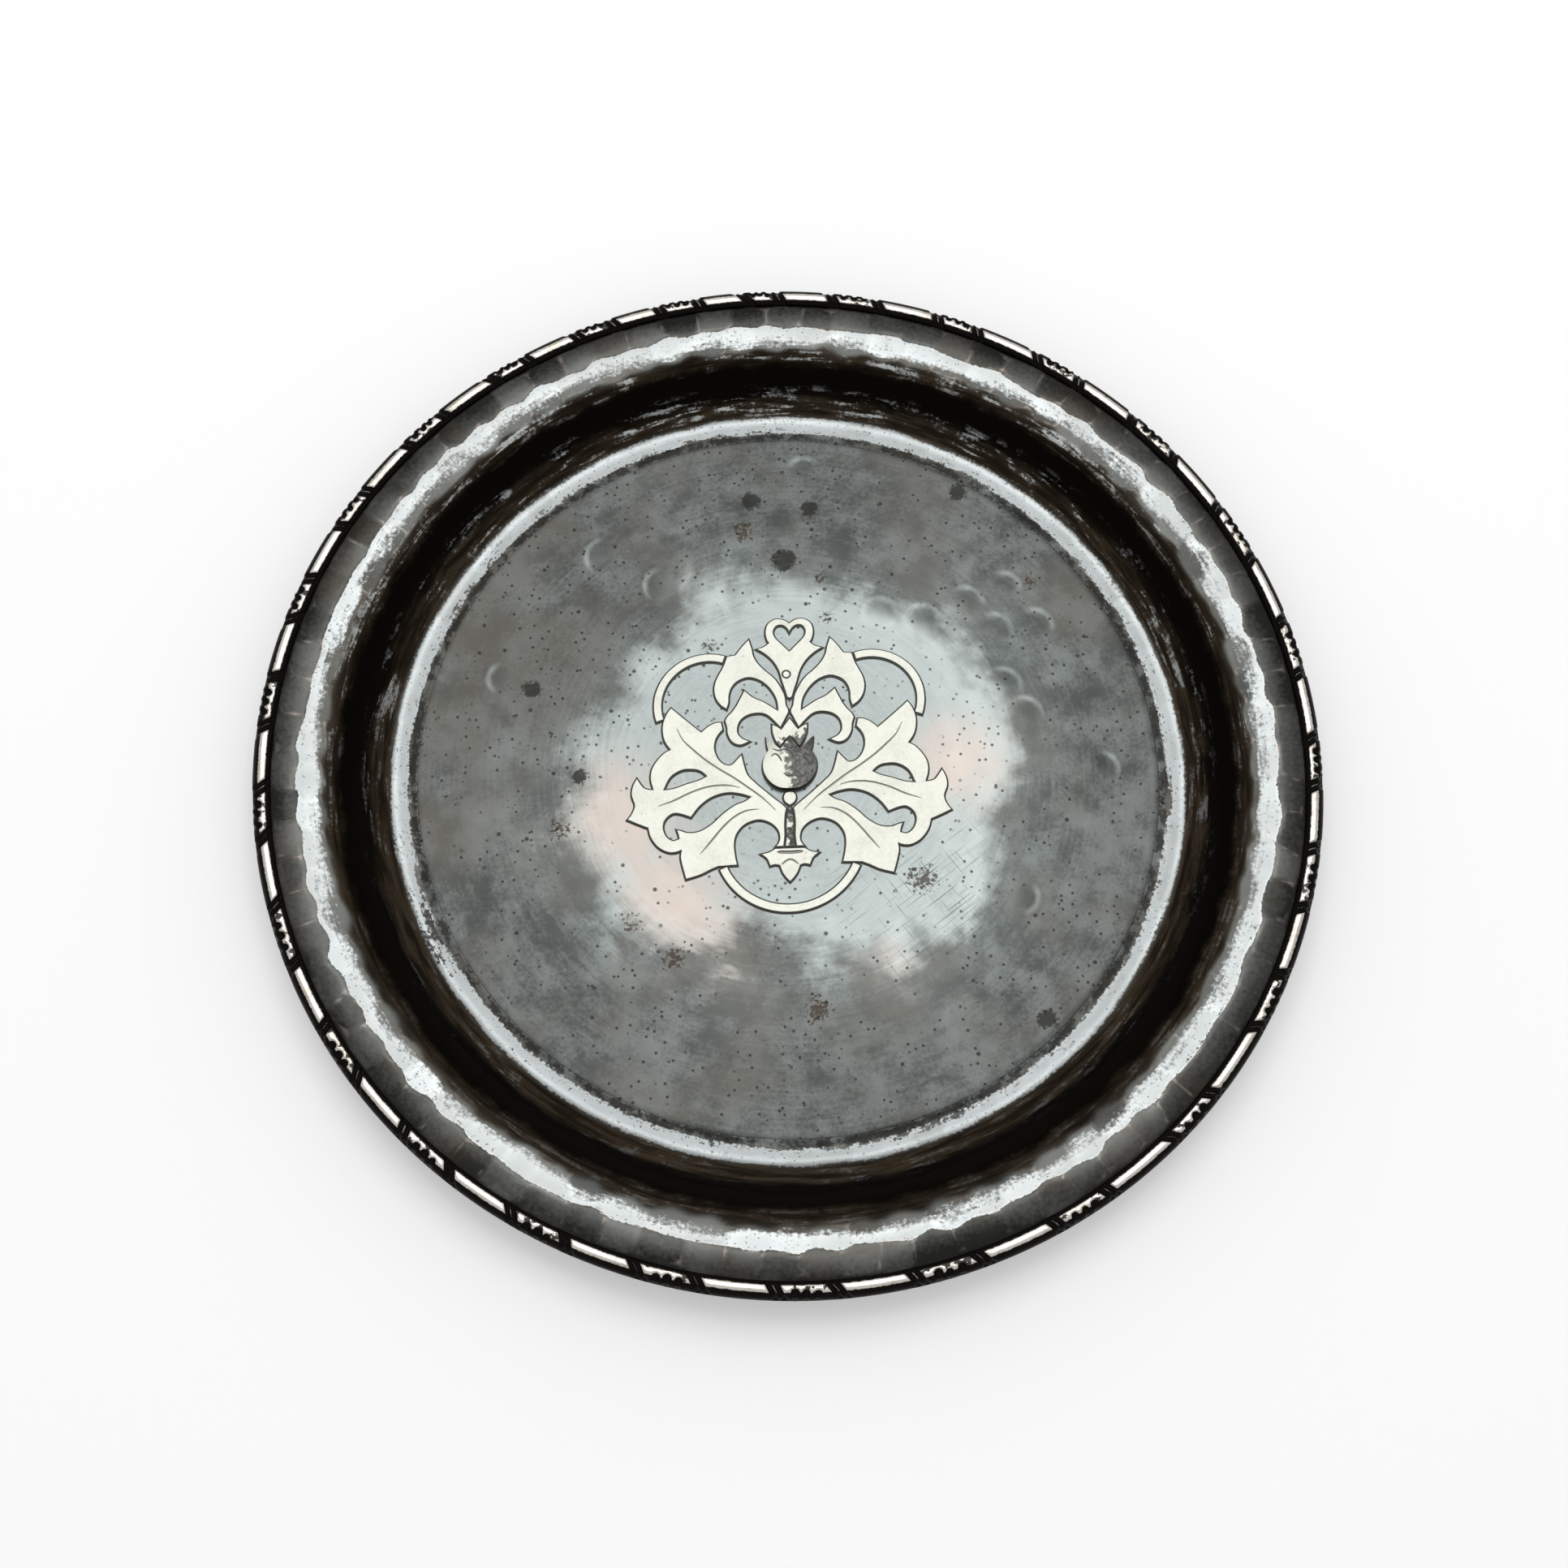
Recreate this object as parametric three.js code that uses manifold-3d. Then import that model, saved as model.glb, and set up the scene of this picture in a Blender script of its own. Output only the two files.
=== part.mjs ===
// Planished copper dish with a silver border on its lip and a pierced silver thistle on its floor.
// Millimetres, +Z up. The dish stands on z = 0, and the thistle's head points to +Y.
import * as THREE from 'three';
import { mergeVertices } from 'three/addons/utils/BufferGeometryUtils.js';
import Module from 'manifold-3d';

const wasm = await Module();
wasm.setup();

// Dish, raised from one sheet
const SHEET = 1.2;
const FLOOR_RADIUS = 93;
const COVE_RADIUS = 16;
const SHOULDER_RADIUS = 24.3;
const WALL_ANGLE = 45;
const FLANGE_FALL = 10;
const CREASE_WIDTH = 1.2;
const CREASE_DEPTH = 0.3;
const DISH_SEGMENTS = 64;
const ARC_STEPS = 3;

// Half-round border, soldered along the lip
const BORDER_WIDTH = 4.4;
const BORDER_HEIGHT = 1.9;
const BORDER_OVERHANG = 0.35;
const BORDER_REPEATS = 27;
const BORDER_SEGMENTS_PER_REPEAT = 3;
const BORDER_SECTION_STEPS = 5;
const STROKE_WIDTH = 0.9;
const STROKE_DEPTH = 0.8;
const STROKE_SLANT = 32;
const BAR_SHARE = 0.52;
const PIT_RADIUS = 0.6;
const PIT_DEPTH = 0.7;
const PITS_PER_PANEL = 3;
const PIT_PITCH = 2.6;
const PIT_FROM_EDGE = 1.75;
const PIT_SIDES = 5;

// Thistle overlay, soldered flat on the floor
const OVERLAY_WIDTH = 80;
const OVERLAY_GAUGE = 0.8;
const OVERLAY_LEAN = 0.04;
const TENDRIL_WIDTH = 2;
const ARC_BAND_STEP = 8;
const OUTLINE_STEPS = 2;
const VEIN_WIDTH = 0.6;
const VEIN_DEPTH = 0.3;
const BUD_RISE = 1.5;
const BUD_DOME_RADIUS = 11;
const BUD_SCALE_HEIGHT = 1.2;
const SOLDER_FILM = 0.1;

const COPPER = { color: 0x5b544c, roughness: 0.42, metalness: 0.9 };
const SILVER = { color: 0xe8e4d8, roughness: 0.3, metalness: 0.9 };

const radians = THREE.MathUtils.degToRad;
const floorTop = SHEET;
const overlayBase = floorTop + SOLDER_FILM;
const wall = radians(WALL_ANGLE);
const fall = radians(FLANGE_FALL);

// Places that the wall's two bends give
const crestRadius = FLOOR_RADIUS + (COVE_RADIUS + SHOULDER_RADIUS) * Math.sin(wall);
const crestTop = floorTop + (COVE_RADIUS + SHOULDER_RADIUS) * (1 - Math.cos(wall));
const shoulderCentre = new THREE.Vector2(crestRadius, crestTop - SHOULDER_RADIUS);
const coveCentre = new THREE.Vector2(FLOOR_RADIUS, floorTop + COVE_RADIUS);
const lipAlong = new THREE.Vector2(Math.cos(fall), -Math.sin(fall));
const lipUp = new THREE.Vector2(Math.sin(fall), Math.cos(fall));
const lipStart = shoulderCentre.clone().addScaledVector(lipUp, SHOULDER_RADIUS);
const lipWidth = BORDER_WIDTH - BORDER_OVERHANG;

// A point beside the lip: along is outward from the flange, up is off the copper
function lipPoint(along, up) {
  return lipStart.clone().addScaledVector(lipAlong, along).addScaledVector(lipUp, up);
}

// Solids from geometries, and back
function solid(geometry) {
  const bare = geometry.clone();
  bare.deleteAttribute('normal');
  bare.deleteAttribute('uv');
  const merged = mergeVertices(bare, 1e-4);
  return new wasm.Manifold(new wasm.Mesh({
    numProp: 3,
    vertProperties: new Float32Array(merged.attributes.position.array),
    triVerts: new Uint32Array(merged.index.array),
  }));
}

function fromSolid(manifold) {
  const mesh = manifold.getMesh();
  const geometry = new THREE.BufferGeometry();
  geometry.setAttribute('position', new THREE.BufferAttribute(mesh.vertProperties, 3));
  geometry.setIndex(new THREE.BufferAttribute(mesh.triVerts, 1));
  geometry.computeVertexNormals();
  return geometry;
}

function cut(geometry, cutters) {
  return fromSolid(cutters.reduce((rest, cutter) => rest.subtract(solid(cutter)), solid(geometry)));
}

// A ring or disc turned about the dish's axis from a profile of (radius, height) points
function turned(profile, segments) {
  const geometry = new THREE.LatheGeometry(profile, segments);
  geometry.rotateX(Math.PI / 2);
  return geometry;
}

// Dish body
function dishBody() {
  const creaseInner = FLOOR_RADIUS - CREASE_WIDTH;
  const up = Math.PI / 2;
  const profile = new THREE.Path();
  profile.moveTo(0, 0);
  profile.lineTo(FLOOR_RADIUS, 0);
  profile.absarc(coveCentre.x, coveCentre.y, COVE_RADIUS + SHEET, -up, wall - up, false);
  profile.absarc(shoulderCentre.x, shoulderCentre.y, SHOULDER_RADIUS - SHEET, up + wall, up - fall, true);
  profile.lineTo(...lipPoint(lipWidth, -SHEET));
  profile.lineTo(...lipPoint(lipWidth, 0));
  profile.absarc(shoulderCentre.x, shoulderCentre.y, SHOULDER_RADIUS, up - fall, up + wall, false);
  profile.absarc(coveCentre.x, coveCentre.y, COVE_RADIUS, wall - up, -up, true);
  profile.lineTo(FLOOR_RADIUS - CREASE_WIDTH / 2, floorTop - CREASE_DEPTH);
  profile.lineTo(creaseInner, floorTop);
  profile.lineTo(0, floorTop);
  return turned(profile.getPoints(ARC_STEPS), DISH_SEGMENTS);
}

// Border, one half-round ring cut by slanted strokes and punched pits
function borderRing() {
  const middle = BORDER_WIDTH / 2;
  const section = new THREE.EllipseCurve(middle, 0, middle, BORDER_HEIGHT, Math.PI, 0, true);
  const points = section.getPoints(BORDER_SECTION_STEPS).map((p) => lipPoint(p.x, SOLDER_FILM + p.y));
  points.push(points[0].clone());
  return turned(points.reverse(), BORDER_REPEATS * BORDER_SEGMENTS_PER_REPEAT);
}

// Puts a cutter made at the origin on the border, at an angle round the dish
function onBorder(cutter, along, up, angle) {
  const seat = lipPoint(along, up);
  cutter.rotateY(fall);
  cutter.translate(seat.x, 0, seat.y);
  cutter.rotateZ(angle);
  return cutter;
}

// V-shaped stroke across the border, turned by the slant from the radial direction
function stroke(angle, slant) {
  const chisel = new THREE.CylinderGeometry(1, 1, 2 * BORDER_WIDTH, 4);
  chisel.scale(STROKE_WIDTH / 2, 1, STROKE_DEPTH);
  chisel.rotateZ(Math.PI / 2 + slant);
  return onBorder(chisel, BORDER_WIDTH / 2, SOLDER_FILM + BORDER_HEIGHT, angle);
}

// Pointed pit, as wide as its radius says at the border's top
function pit(angle) {
  const punch = new THREE.ConeGeometry(2 * PIT_RADIUS, 2 * PIT_DEPTH, PIT_SIDES);
  punch.rotateX(-Math.PI / 2);
  return onBorder(punch, BORDER_WIDTH - PIT_FROM_EDGE, SOLDER_FILM + BORDER_HEIGHT, angle);
}

function rimBorder() {
  const pitch = (2 * Math.PI) / BORDER_REPEATS;
  const bar = BAR_SHARE * pitch;
  const slant = radians(STROKE_SLANT);
  const pitStep = PIT_PITCH / lipStart.x;
  const cutters = [];
  for (let i = 0; i < BORDER_REPEATS; i += 1) {
    const barCentre = i * pitch;
    const panelCentre = barCentre + pitch / 2;
    cutters.push(stroke(barCentre - bar / 2, slant));
    cutters.push(stroke(barCentre + bar / 2, slant));
    for (let k = 0; k < PITS_PER_PANEL; k += 1) {
      cutters.push(pit(panelCentre + (k - (PITS_PER_PANEL - 1) / 2) * pitStep));
    }
  }
  return cut(borderRing(), cutters);
}

// Overlay outlines, drawn at 80 mm wide with the axis at x = 0 and the right half at x > 0.
// Each row starts at a sharp corner and curves through its other points to the next row's corner.
// Outlines run clockwise and openings counterclockwise.
const DRAWN_WIDTH = 80;

const FLEURON_HALF = [
  [[0, 39.4], [1.5, 40.4], [3.6, 40.6], [5.5, 39.3], [6.1, 37], [5.7, 34.9]],
  [[5.2, 34.1], [6.6, 33]],
  [[8.4, 32.5], [6.9, 31], [5.2, 29.2], [3.8, 27.4], [2.8, 25.6], [2.1, 23.6], [1.3, 21.3]],
  [[0.6, 19.2]],
  [[0, 18.8]],
];
const HEART_HALF = [
  [[0, 31.6], [1.8, 33.5], [3.6, 35.5], [4.1, 37.2], [3.3, 38.7], [1.8, 38.9], [0.6, 38]],
  [[0, 36.8]],
];
const CROWN_LEAF = [
  [[2.3, 11], [1.3, 13]],
  [[0.3, 15]],
  [[0.3, 15.9], [0.8, 16.8], [1, 18.2], [1.3, 19.8], [2, 21.6], [2.8, 23.7], [3.6, 25.3], [5, 27],
    [6.8, 29], [8.6, 31], [9.4, 32.6]],
  [[10.3, 35.2], [11.7, 33.7], [12.9, 32.1]],
  [[13.7, 31]],
  [[15.8, 30.7]],
  [[16.4, 28.8], [17, 27.4], [17.9, 25.7], [18.7, 23.8], [19, 21.6], [18.5, 19.3], [17.3, 17.5]],
  [[15.8, 16.4], [15.3, 18.1], [15.2, 20.2], [14.5, 22.3], [13, 23.9], [10.4, 24.8], [7.6, 24],
    [5.4, 22.2], [3.9, 20], [3.15, 18]],
  [[2.9, 15.6], [4.5, 16.7], [6.8, 18.2], [9.2, 19.4]],
  [[11.4, 21.3], [12.4, 19.2], [13.4, 17.2], [14.5, 15.6], [15.6, 14.4]],
  [[16.2, 13.2], [15.7, 11.6], [15.5, 9.6], [14.3, 7.5], [12.3, 6.7]],
  [[10, 7.6], [11.9, 8.5], [13, 10], [12.9, 12], [12, 13.6], [10.3, 14.7], [8, 15.1], [6, 14.7],
    [4.4, 13.4]],
];
const THISTLE_LEAF = [
  [[1.6, -20.2], [1.3, -17.5], [1.35, -14.5], [1.2, -12]],
  [[0.85, -10.3], [2.2, -9], [4, -7.5], [6, -5.7], [8.4, -3.5], [10.6, -0.9]],
  [[12, 4.2], [13.2, 2.8], [14.6, 1.5], [16.2, 1.7], [17.8, 3.2], [18.7, 5.6], [18.6, 7.9], [17.8, 9.6]],
  [[16.7, 10.9]],
  [[17.1, 12.9], [18.6, 12.8], [20.4, 11.9]],
  [[22.1, 10.4], [24.5, 12.5], [27, 14.7]],
  [[29.7, 17.2], [30.8, 15.6], [31.7, 13], [31.7, 10.2], [31, 7.9]],
  [[29.7, 6], [31.3, 5.1], [33.1, 3.1], [34.3, 0.8], [34.5, -1.8]],
  [[33.8, -4.4], [36, -3.9]],
  [[37.9, -1.3], [38.9, -3.4], [39.1, -5.8], [38.3, -8.3], [38.9, -10.4]],
  [[40, -12], [37.5, -13.2]],
  [[34.9, -14.3], [34.2, -16.8], [32.4, -19.3], [30, -20.7], [28, -20.8]],
  [[26.6, -20.3], [26.8, -22.2], [26.2, -25]],
  [[25.4, -27.8], [22, -26.8], [19.5, -25.6]],
  [[17.6, -24.8]],
  [[12.9, -24.6], [13.4, -22.3], [13.7, -19.3], [13.2, -16.8], [11.6, -14.6], [9.3, -13.4], [7, -13.2],
    [4.6, -14.2], [3, -15.9], [2.5, -17.8], [2.8, -19.2]],
  [[3.6, -20.2]],
];
const UPPER_OPENING = [
  [[20.6, -1.3], [22.6, -2.3], [25.6, -3.2], [28.5, -4.2]],
  [[31.2, -4.6], [29.6, -1.3], [26.8, 0.5], [23.8, 0.6], [22, 0]],
];
const LOWER_OPENING = [
  [[9.6, -7.1], [11.2, -8.2], [13.7, -9.2], [16.7, -11.4], [19.2, -13.8], [22.2, -15.6], [25, -15.9],
    [26.5, -15.4]],
  [[27.9, -15], [27.4, -16.4]],
  [[27.2, -17.4], [28.8, -17.8], [30.4, -16.6], [31.2, -14.3], [30.6, -12.2], [28.8, -10.8], [26.8, -11]],
  [[24.4, -11.9], [22.2, -9], [19.2, -6.8], [15.5, -5.8], [12.2, -6.2]],
];
const LEAF_VEINS = [
  [[28.2, 11.6], [26.6, 8.4], [24, 5.7], [21, 3], [17.5, 0.4], [14, -1.9], [10.8, -4.3], [7, -7.3],
    [3.4, -10.9]],
  [[32.5, -8.8], [28.7, -7.5], [24.5, -5.5], [20, -4.1], [15.6, -3.9], [12.4, -4.6]],
  [[22, -21.5], [19.6, -18.6], [16.5, -14.8], [13.7, -12.2], [10.7, -10.7], [7.6, -10.4]],
];
const TUFT_HALF = [
  [[0, 13.5]],
  [[2.1, 10.5], [3.1, 11.3]],
  [[4.4, 11.9], [4.3, 9.8], [3.5, 7.4]],
  [[2.4, 5.7], [1.4, 7.2]],
  [[0, 8.8]],
];
const BUD_HALF = [
  [[0, 8], [1.1, 6.6]],
  [[2.4, 4.7], [3.9, 6.2]],
  [[5.9, 8.3], [5.7, 6.2]],
  [[5.3, 4.6], [6.2, 3.2], [6.7, 1.2], [6.7, -0.8], [6.1, -2.7], [4.7, -4.4], [2.8, -5.3]],
  [[0, -5.6]],
];
const BUD_SCALES = [
  [[-5, 1.4], [-3.4, 3], [-1.7, 3], [-0.4, 1.4]],
  [[0.4, 1.4], [1.7, 3], [3.4, 3], [5, 1.4]],
  [[-3, -1.4], [-1.6, 0.2], [0, 0.7], [1.6, 0.2], [3, -1.4]],
];
const BEAD_HALF = [
  [[0, -6], [1.1, -6.3], [1.6, -7.5], [1.1, -8.8]],
  [[0, -9.6]],
];
const STEM_HALF = [
  [[0, -10]],
  [[0.35, -10.2], [0.75, -12], [0.9, -14.5], [0.85, -17.5]],
  [[1.15, -20.2]],
  [[0, -20.2]],
];
const FINIAL_HALF = [
  [[0, -20.7]],
  [[3.6, -20.7], [5.2, -21.6]],
  [[7.2, -22], [5.7, -23.2]],
  [[4.9, -25.1], [3.6, -24.8]],
  [[2.5, -25.1], [1.9, -26.8], [1, -28.2]],
  [[0, -29.3]],
];
const FINIAL_LINES = [
  [[-2.8, -21.6], [0, -21.8], [2.8, -21.6]],
  [[-2.1, -24.9], [-1, -24], [0, -23.6], [1, -24], [2.1, -24.9]],
];

// Tendrils: centre, radius and the angles that each arc runs between
const SIDE_TENDRIL = { x: 20.5, y: 17.9, radius: 12.6, from: 108, to: -14 };
const BASE_TENDRIL = { x: 0, y: -18.2, radius: 17.8, from: -26, to: -154 };

// Drawing point to dish floor, on the right (side 1) or the left (side -1)
const drawnScale = OVERLAY_WIDTH / DRAWN_WIDTH;
function placed([x, y], side) {
  const across = side * x * drawnScale;
  return new THREE.Vector2(across, y * drawnScale + OVERLAY_LEAN * across);
}

function trace(path, rows, side) {
  path.moveTo(...placed(rows[0][0], side));
  rows.forEach((row, i) => {
    const corner = rows[(i + 1) % rows.length][0];
    const points = [...row.slice(1), corner].map((point) => placed(point, side));
    if (points.length > 1) {
      path.splineThru(points);
    } else {
      path.lineTo(...points[0]);
    }
  });
  return path;
}

// A half outline, from the axis round to the axis, with its mirror image added
function bothHalves(half) {
  const mirror = ([x, y]) => [-x, y];
  const back = [];
  for (let i = half.length - 2; i >= 0; i -= 1) {
    const start = half[i + 1][0];
    back.push([start, ...half[i].slice(1).reverse()].map(mirror));
  }
  return [...half.slice(0, -1), ...back];
}

// A flat sheet piece on the floor, with its openings pierced
function sheet(rows, side, openings = []) {
  const shape = trace(new THREE.Shape(), rows, side);
  for (const opening of openings) {
    shape.holes.push(trace(new THREE.Path(), opening, side));
  }
  return raised(shape, OVERLAY_GAUGE);
}

function raised(shape, height) {
  const options = { depth: height, bevelEnabled: false, curveSegments: OUTLINE_STEPS };
  const geometry = new THREE.ExtrudeGeometry(shape, options);
  geometry.translate(0, 0, overlayBase);
  return geometry;
}

// V-shaped chased line, centred on a height so that its lower half cuts
function chased(points, side, height) {
  const route = points.map((point) => placed(point, side)).map((p) => new THREE.Vector3(p.x, p.y, height));
  const half = VEIN_WIDTH / 2;
  const diamond = new THREE.Shape();
  diamond.moveTo(VEIN_DEPTH, 0);
  diamond.lineTo(0, half);
  diamond.lineTo(-VEIN_DEPTH, 0);
  diamond.lineTo(0, -half);
  const extrudePath = new THREE.CatmullRomCurve3(route);
  const steps = 2 * (points.length - 1);
  return new THREE.ExtrudeGeometry(diamond, { steps, bevelEnabled: false, extrudePath });
}

function thistleLeaf(side) {
  const leaf = sheet(THISTLE_LEAF, side, [UPPER_OPENING, LOWER_OPENING]);
  return cut(leaf, LEAF_VEINS.map((vein) => chased(vein, side, overlayBase + OVERLAY_GAUGE)));
}

function finial() {
  const foot = sheet(bothHalves(FINIAL_HALF), 1);
  return cut(foot, FINIAL_LINES.map((line) => chased(line, 1, overlayBase + OVERLAY_GAUGE)));
}

// The thistle's head: its outline cut from a low dome, with scales chased on it
function thistleBud() {
  const height = OVERLAY_GAUGE + BUD_RISE;
  const block = raised(trace(new THREE.Shape(), bothHalves(BUD_HALF), 1), height);
  const dome = new THREE.SphereGeometry(1, 20, 10);
  const reach = BUD_DOME_RADIUS * drawnScale;
  dome.scale(reach, reach, height);
  dome.translate(0, 0, overlayBase);
  const head = fromSolid(solid(block).intersect(solid(dome)));
  const scaleHeight = overlayBase + OVERLAY_GAUGE + BUD_SCALE_HEIGHT;
  return cut(head, BUD_SCALES.map((line) => chased(line, 1, scaleHeight)));
}

function arcBand({ x, y, radius, from, to }, side) {
  const half = TENDRIL_WIDTH / 2 / drawnScale;
  const edge = (r, a, b) => {
    const steps = Math.ceil(Math.abs(b - a) / ARC_BAND_STEP);
    return Array.from({ length: steps + 1 }, (_, i) => {
      const angle = radians(a + ((b - a) * i) / steps);
      return placed([x + r * Math.cos(angle), y + r * Math.sin(angle)], side);
    });
  };
  const rim = [...edge(radius + half, from, to), ...edge(radius - half, to, from)];
  return raised(new THREE.Shape(rim), OVERLAY_GAUGE);
}

// Assembly
const dish = new THREE.Group();

function piece(name, geometry, finish) {
  const mesh = new THREE.Mesh(geometry, new THREE.MeshStandardMaterial(finish));
  mesh.name = name;
  dish.add(mesh);
}

piece('dish_body', dishBody(), COPPER);
piece('rim_border', rimBorder(), SILVER);
piece('crown_fleuron', sheet(bothHalves(FLEURON_HALF), 1, [bothHalves(HEART_HALF)]), SILVER);
for (const [hand, side] of [['left', -1], ['right', 1]]) {
  piece(`crown_leaf_${hand}`, sheet(CROWN_LEAF, side), SILVER);
  piece(`thistle_leaf_${hand}`, thistleLeaf(side), SILVER);
  piece(`tendril_${hand}`, arcBand(SIDE_TENDRIL, side), SILVER);
}
piece('tendril_base', arcBand(BASE_TENDRIL, 1), SILVER);
piece('thistle_tuft', sheet(bothHalves(TUFT_HALF), 1), SILVER);
piece('thistle_bud', thistleBud(), SILVER);
piece('stem_bead', sheet(bothHalves(BEAD_HALF), 1), SILVER);
piece('thistle_stem', sheet(bothHalves(STEM_HALF), 1), SILVER);
piece('foot_finial', finial(), SILVER);

export default dish;
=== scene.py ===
"""Planished copper dish with a half-round silver border and a pierced silver thistle on its floor.

Sizes are in millimetres until a mesh is made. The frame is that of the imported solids: +Z is up, the
dish stands on z = 0, and the thistle's head points to +Y.
"""
import logging
import math
from dataclasses import dataclass, field
from enum import Enum
from typing import Any, Iterable, Mapping, Sequence, Union

import bpy
import numpy as np
from mathutils import Matrix, Vector
from mathutils.kdtree import KDTree


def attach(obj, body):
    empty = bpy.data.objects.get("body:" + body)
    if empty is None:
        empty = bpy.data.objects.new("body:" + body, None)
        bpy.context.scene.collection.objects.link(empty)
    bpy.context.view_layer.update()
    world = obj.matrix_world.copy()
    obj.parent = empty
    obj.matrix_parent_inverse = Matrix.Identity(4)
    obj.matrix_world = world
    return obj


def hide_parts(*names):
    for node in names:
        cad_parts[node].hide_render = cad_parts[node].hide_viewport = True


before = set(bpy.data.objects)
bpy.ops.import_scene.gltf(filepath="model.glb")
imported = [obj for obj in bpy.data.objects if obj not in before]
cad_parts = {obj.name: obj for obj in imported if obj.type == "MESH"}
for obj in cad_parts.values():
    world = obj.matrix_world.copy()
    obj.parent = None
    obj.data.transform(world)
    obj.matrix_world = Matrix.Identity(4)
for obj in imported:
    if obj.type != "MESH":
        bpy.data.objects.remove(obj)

LOG = logging.getLogger("copper_dish")
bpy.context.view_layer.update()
BODY = "root"
MM = 0.001
TURN = 2 * math.pi
MERGE_DISTANCE = 0.0005 * MM
LONGEST_MITRE = 1.9
HEAD = "thistle_bud"

Point = tuple[float, float]
Range = tuple[float, float]
Place = tuple[float, float, float]
Rows = Sequence[Sequence[Point]]
Colour = tuple[float, float, float]

WHITE: Colour = (1.0, 1.0, 1.0)


class Side(Enum):
    """The half of the thistle that a drawing is placed on."""

    LEFT = -1
    RIGHT = 1


class Slot(Enum):
    """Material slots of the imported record."""

    COPPER = "patinated_copper"
    BORDER = "border_silver"
    OVERLAY = "overlay_silver"


@dataclass(frozen=True)
class TiltedBlow:
    """A blow of a tilted hammer on the floor, which dug in on one side."""

    x: float
    y: float
    lean: float
    reach: float = 4.3


TILTED_BLOWS = (
    TiltedBlow(23.0, 42.3, 75, 4.6), TiltedBlow(34.0, 40.6, 70, 4.6), TiltedBlow(45.4, 45.9, 55),
    TiltedBlow(52.4, 38.4, 50), TiltedBlow(62.9, 39.7, 45), TiltedBlow(53.9, 22.8, 48, 4.8),
    TiltedBlow(59.1, 15.1, 52, 4.6), TiltedBlow(55.5, 50.5, 50, 3.8), TiltedBlow(-47.4, 58.1, 168, 4.8),
    TiltedBlow(-32.7, 50.2, 165), TiltedBlow(56.8, -32.7, -20, 3.8), TiltedBlow(78.5, 1.1, 30, 3.6),
    TiltedBlow(3.9, 83.2, 95, 3.8), TiltedBlow(-72.0, 24.0, 175, 3.8),
)


# Bench tools


def deselect() -> None:
    """Leaves nothing selected."""
    bpy.ops.object.select_all(action="DESELECT")


def only(obj: bpy.types.Object) -> None:
    """Selects one object alone and makes it active.

    Args:
        obj: The object.
    """
    deselect()
    obj.select_set(True)
    bpy.context.view_layer.objects.active = obj


def ring_of_points(name: str, points: np.ndarray) -> bpy.types.Object:
    """Makes a closed loop of edges from a circle whose points are moved into place.

    Args:
        name: Name of the new object.
        points: Places of the loop's points in millimetres, one row of x, y and z each.

    Returns:
        The loop, in object mode and selected alone.
    """
    deselect()
    bpy.ops.mesh.primitive_circle_add(vertices=len(points), radius=MM)
    obj = bpy.context.object
    obj.name = name
    obj.data.name = name
    obj.data.vertices.foreach_set("co", (np.asarray(points, float) * MM).ravel())
    obj.data.update()
    return obj


def vectors_of(items: bpy.types.bpy_prop_collection, name: str) -> np.ndarray:
    """Reads one vector of each item of a mesh.

    Args:
        items: The mesh's points or their normals.
        name: Name of the vector.

    Returns:
        One row of x, y and z for each item.
    """
    flat = np.zeros(len(items) * 3)
    items.foreach_get(name, flat)
    return flat.reshape(-1, 3)


def points_of(obj: bpy.types.Object) -> np.ndarray:
    """Gives the places of an object's points in millimetres."""
    return vectors_of(obj.data.vertices, "co") / MM


def normals_of(obj: bpy.types.Object) -> np.ndarray:
    """Gives the smooth normal at each of an object's points."""
    return vectors_of(obj.data.vertex_normals, "vector")


def face_outwards(obj: bpy.types.Object) -> None:
    """Turns the faces of a closed mesh outwards and leaves edit mode, going by its highest face.

    Args:
        obj: The piece, in edit mode.
    """
    bpy.ops.mesh.select_all(action="SELECT")
    bpy.ops.mesh.normals_make_consistent(inside=False)
    bpy.ops.object.mode_set(mode="OBJECT")
    highest = max(obj.data.polygons, key=lambda face: face.center.z)
    if highest.normal.z < 0:
        obj.data.flip_normals()


def spun(name: str, profile: np.ndarray, steps: int) -> bpy.types.Object:
    """Turns a closed profile about the dish's axis.

    Args:
        name: Name of the new object.
        profile: Radius and height of the profile's points in millimetres.
        steps: Number of steps in a full turn.

    Returns:
        The turned solid, closed and with its faces outwards.
    """
    points = np.column_stack([profile[:, 0], np.zeros(len(profile)), profile[:, 1]])
    obj = ring_of_points(name, points)
    lathe = obj.modifiers.new("lathe", "SCREW")
    lathe.axis = "Z"
    lathe.angle = TURN
    lathe.steps = steps
    lathe.render_steps = steps
    lathe.use_merge_vertices = True
    lathe.merge_threshold = MERGE_DISTANCE
    bpy.ops.object.modifier_apply(modifier=lathe.name)
    bpy.ops.object.mode_set(mode="EDIT")
    bpy.ops.mesh.select_all(action="SELECT")
    bpy.ops.mesh.remove_doubles(threshold=MERGE_DISTANCE)
    bpy.ops.mesh.delete_loose()
    face_outwards(obj)
    bpy.ops.object.shade_smooth()
    return obj


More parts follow.
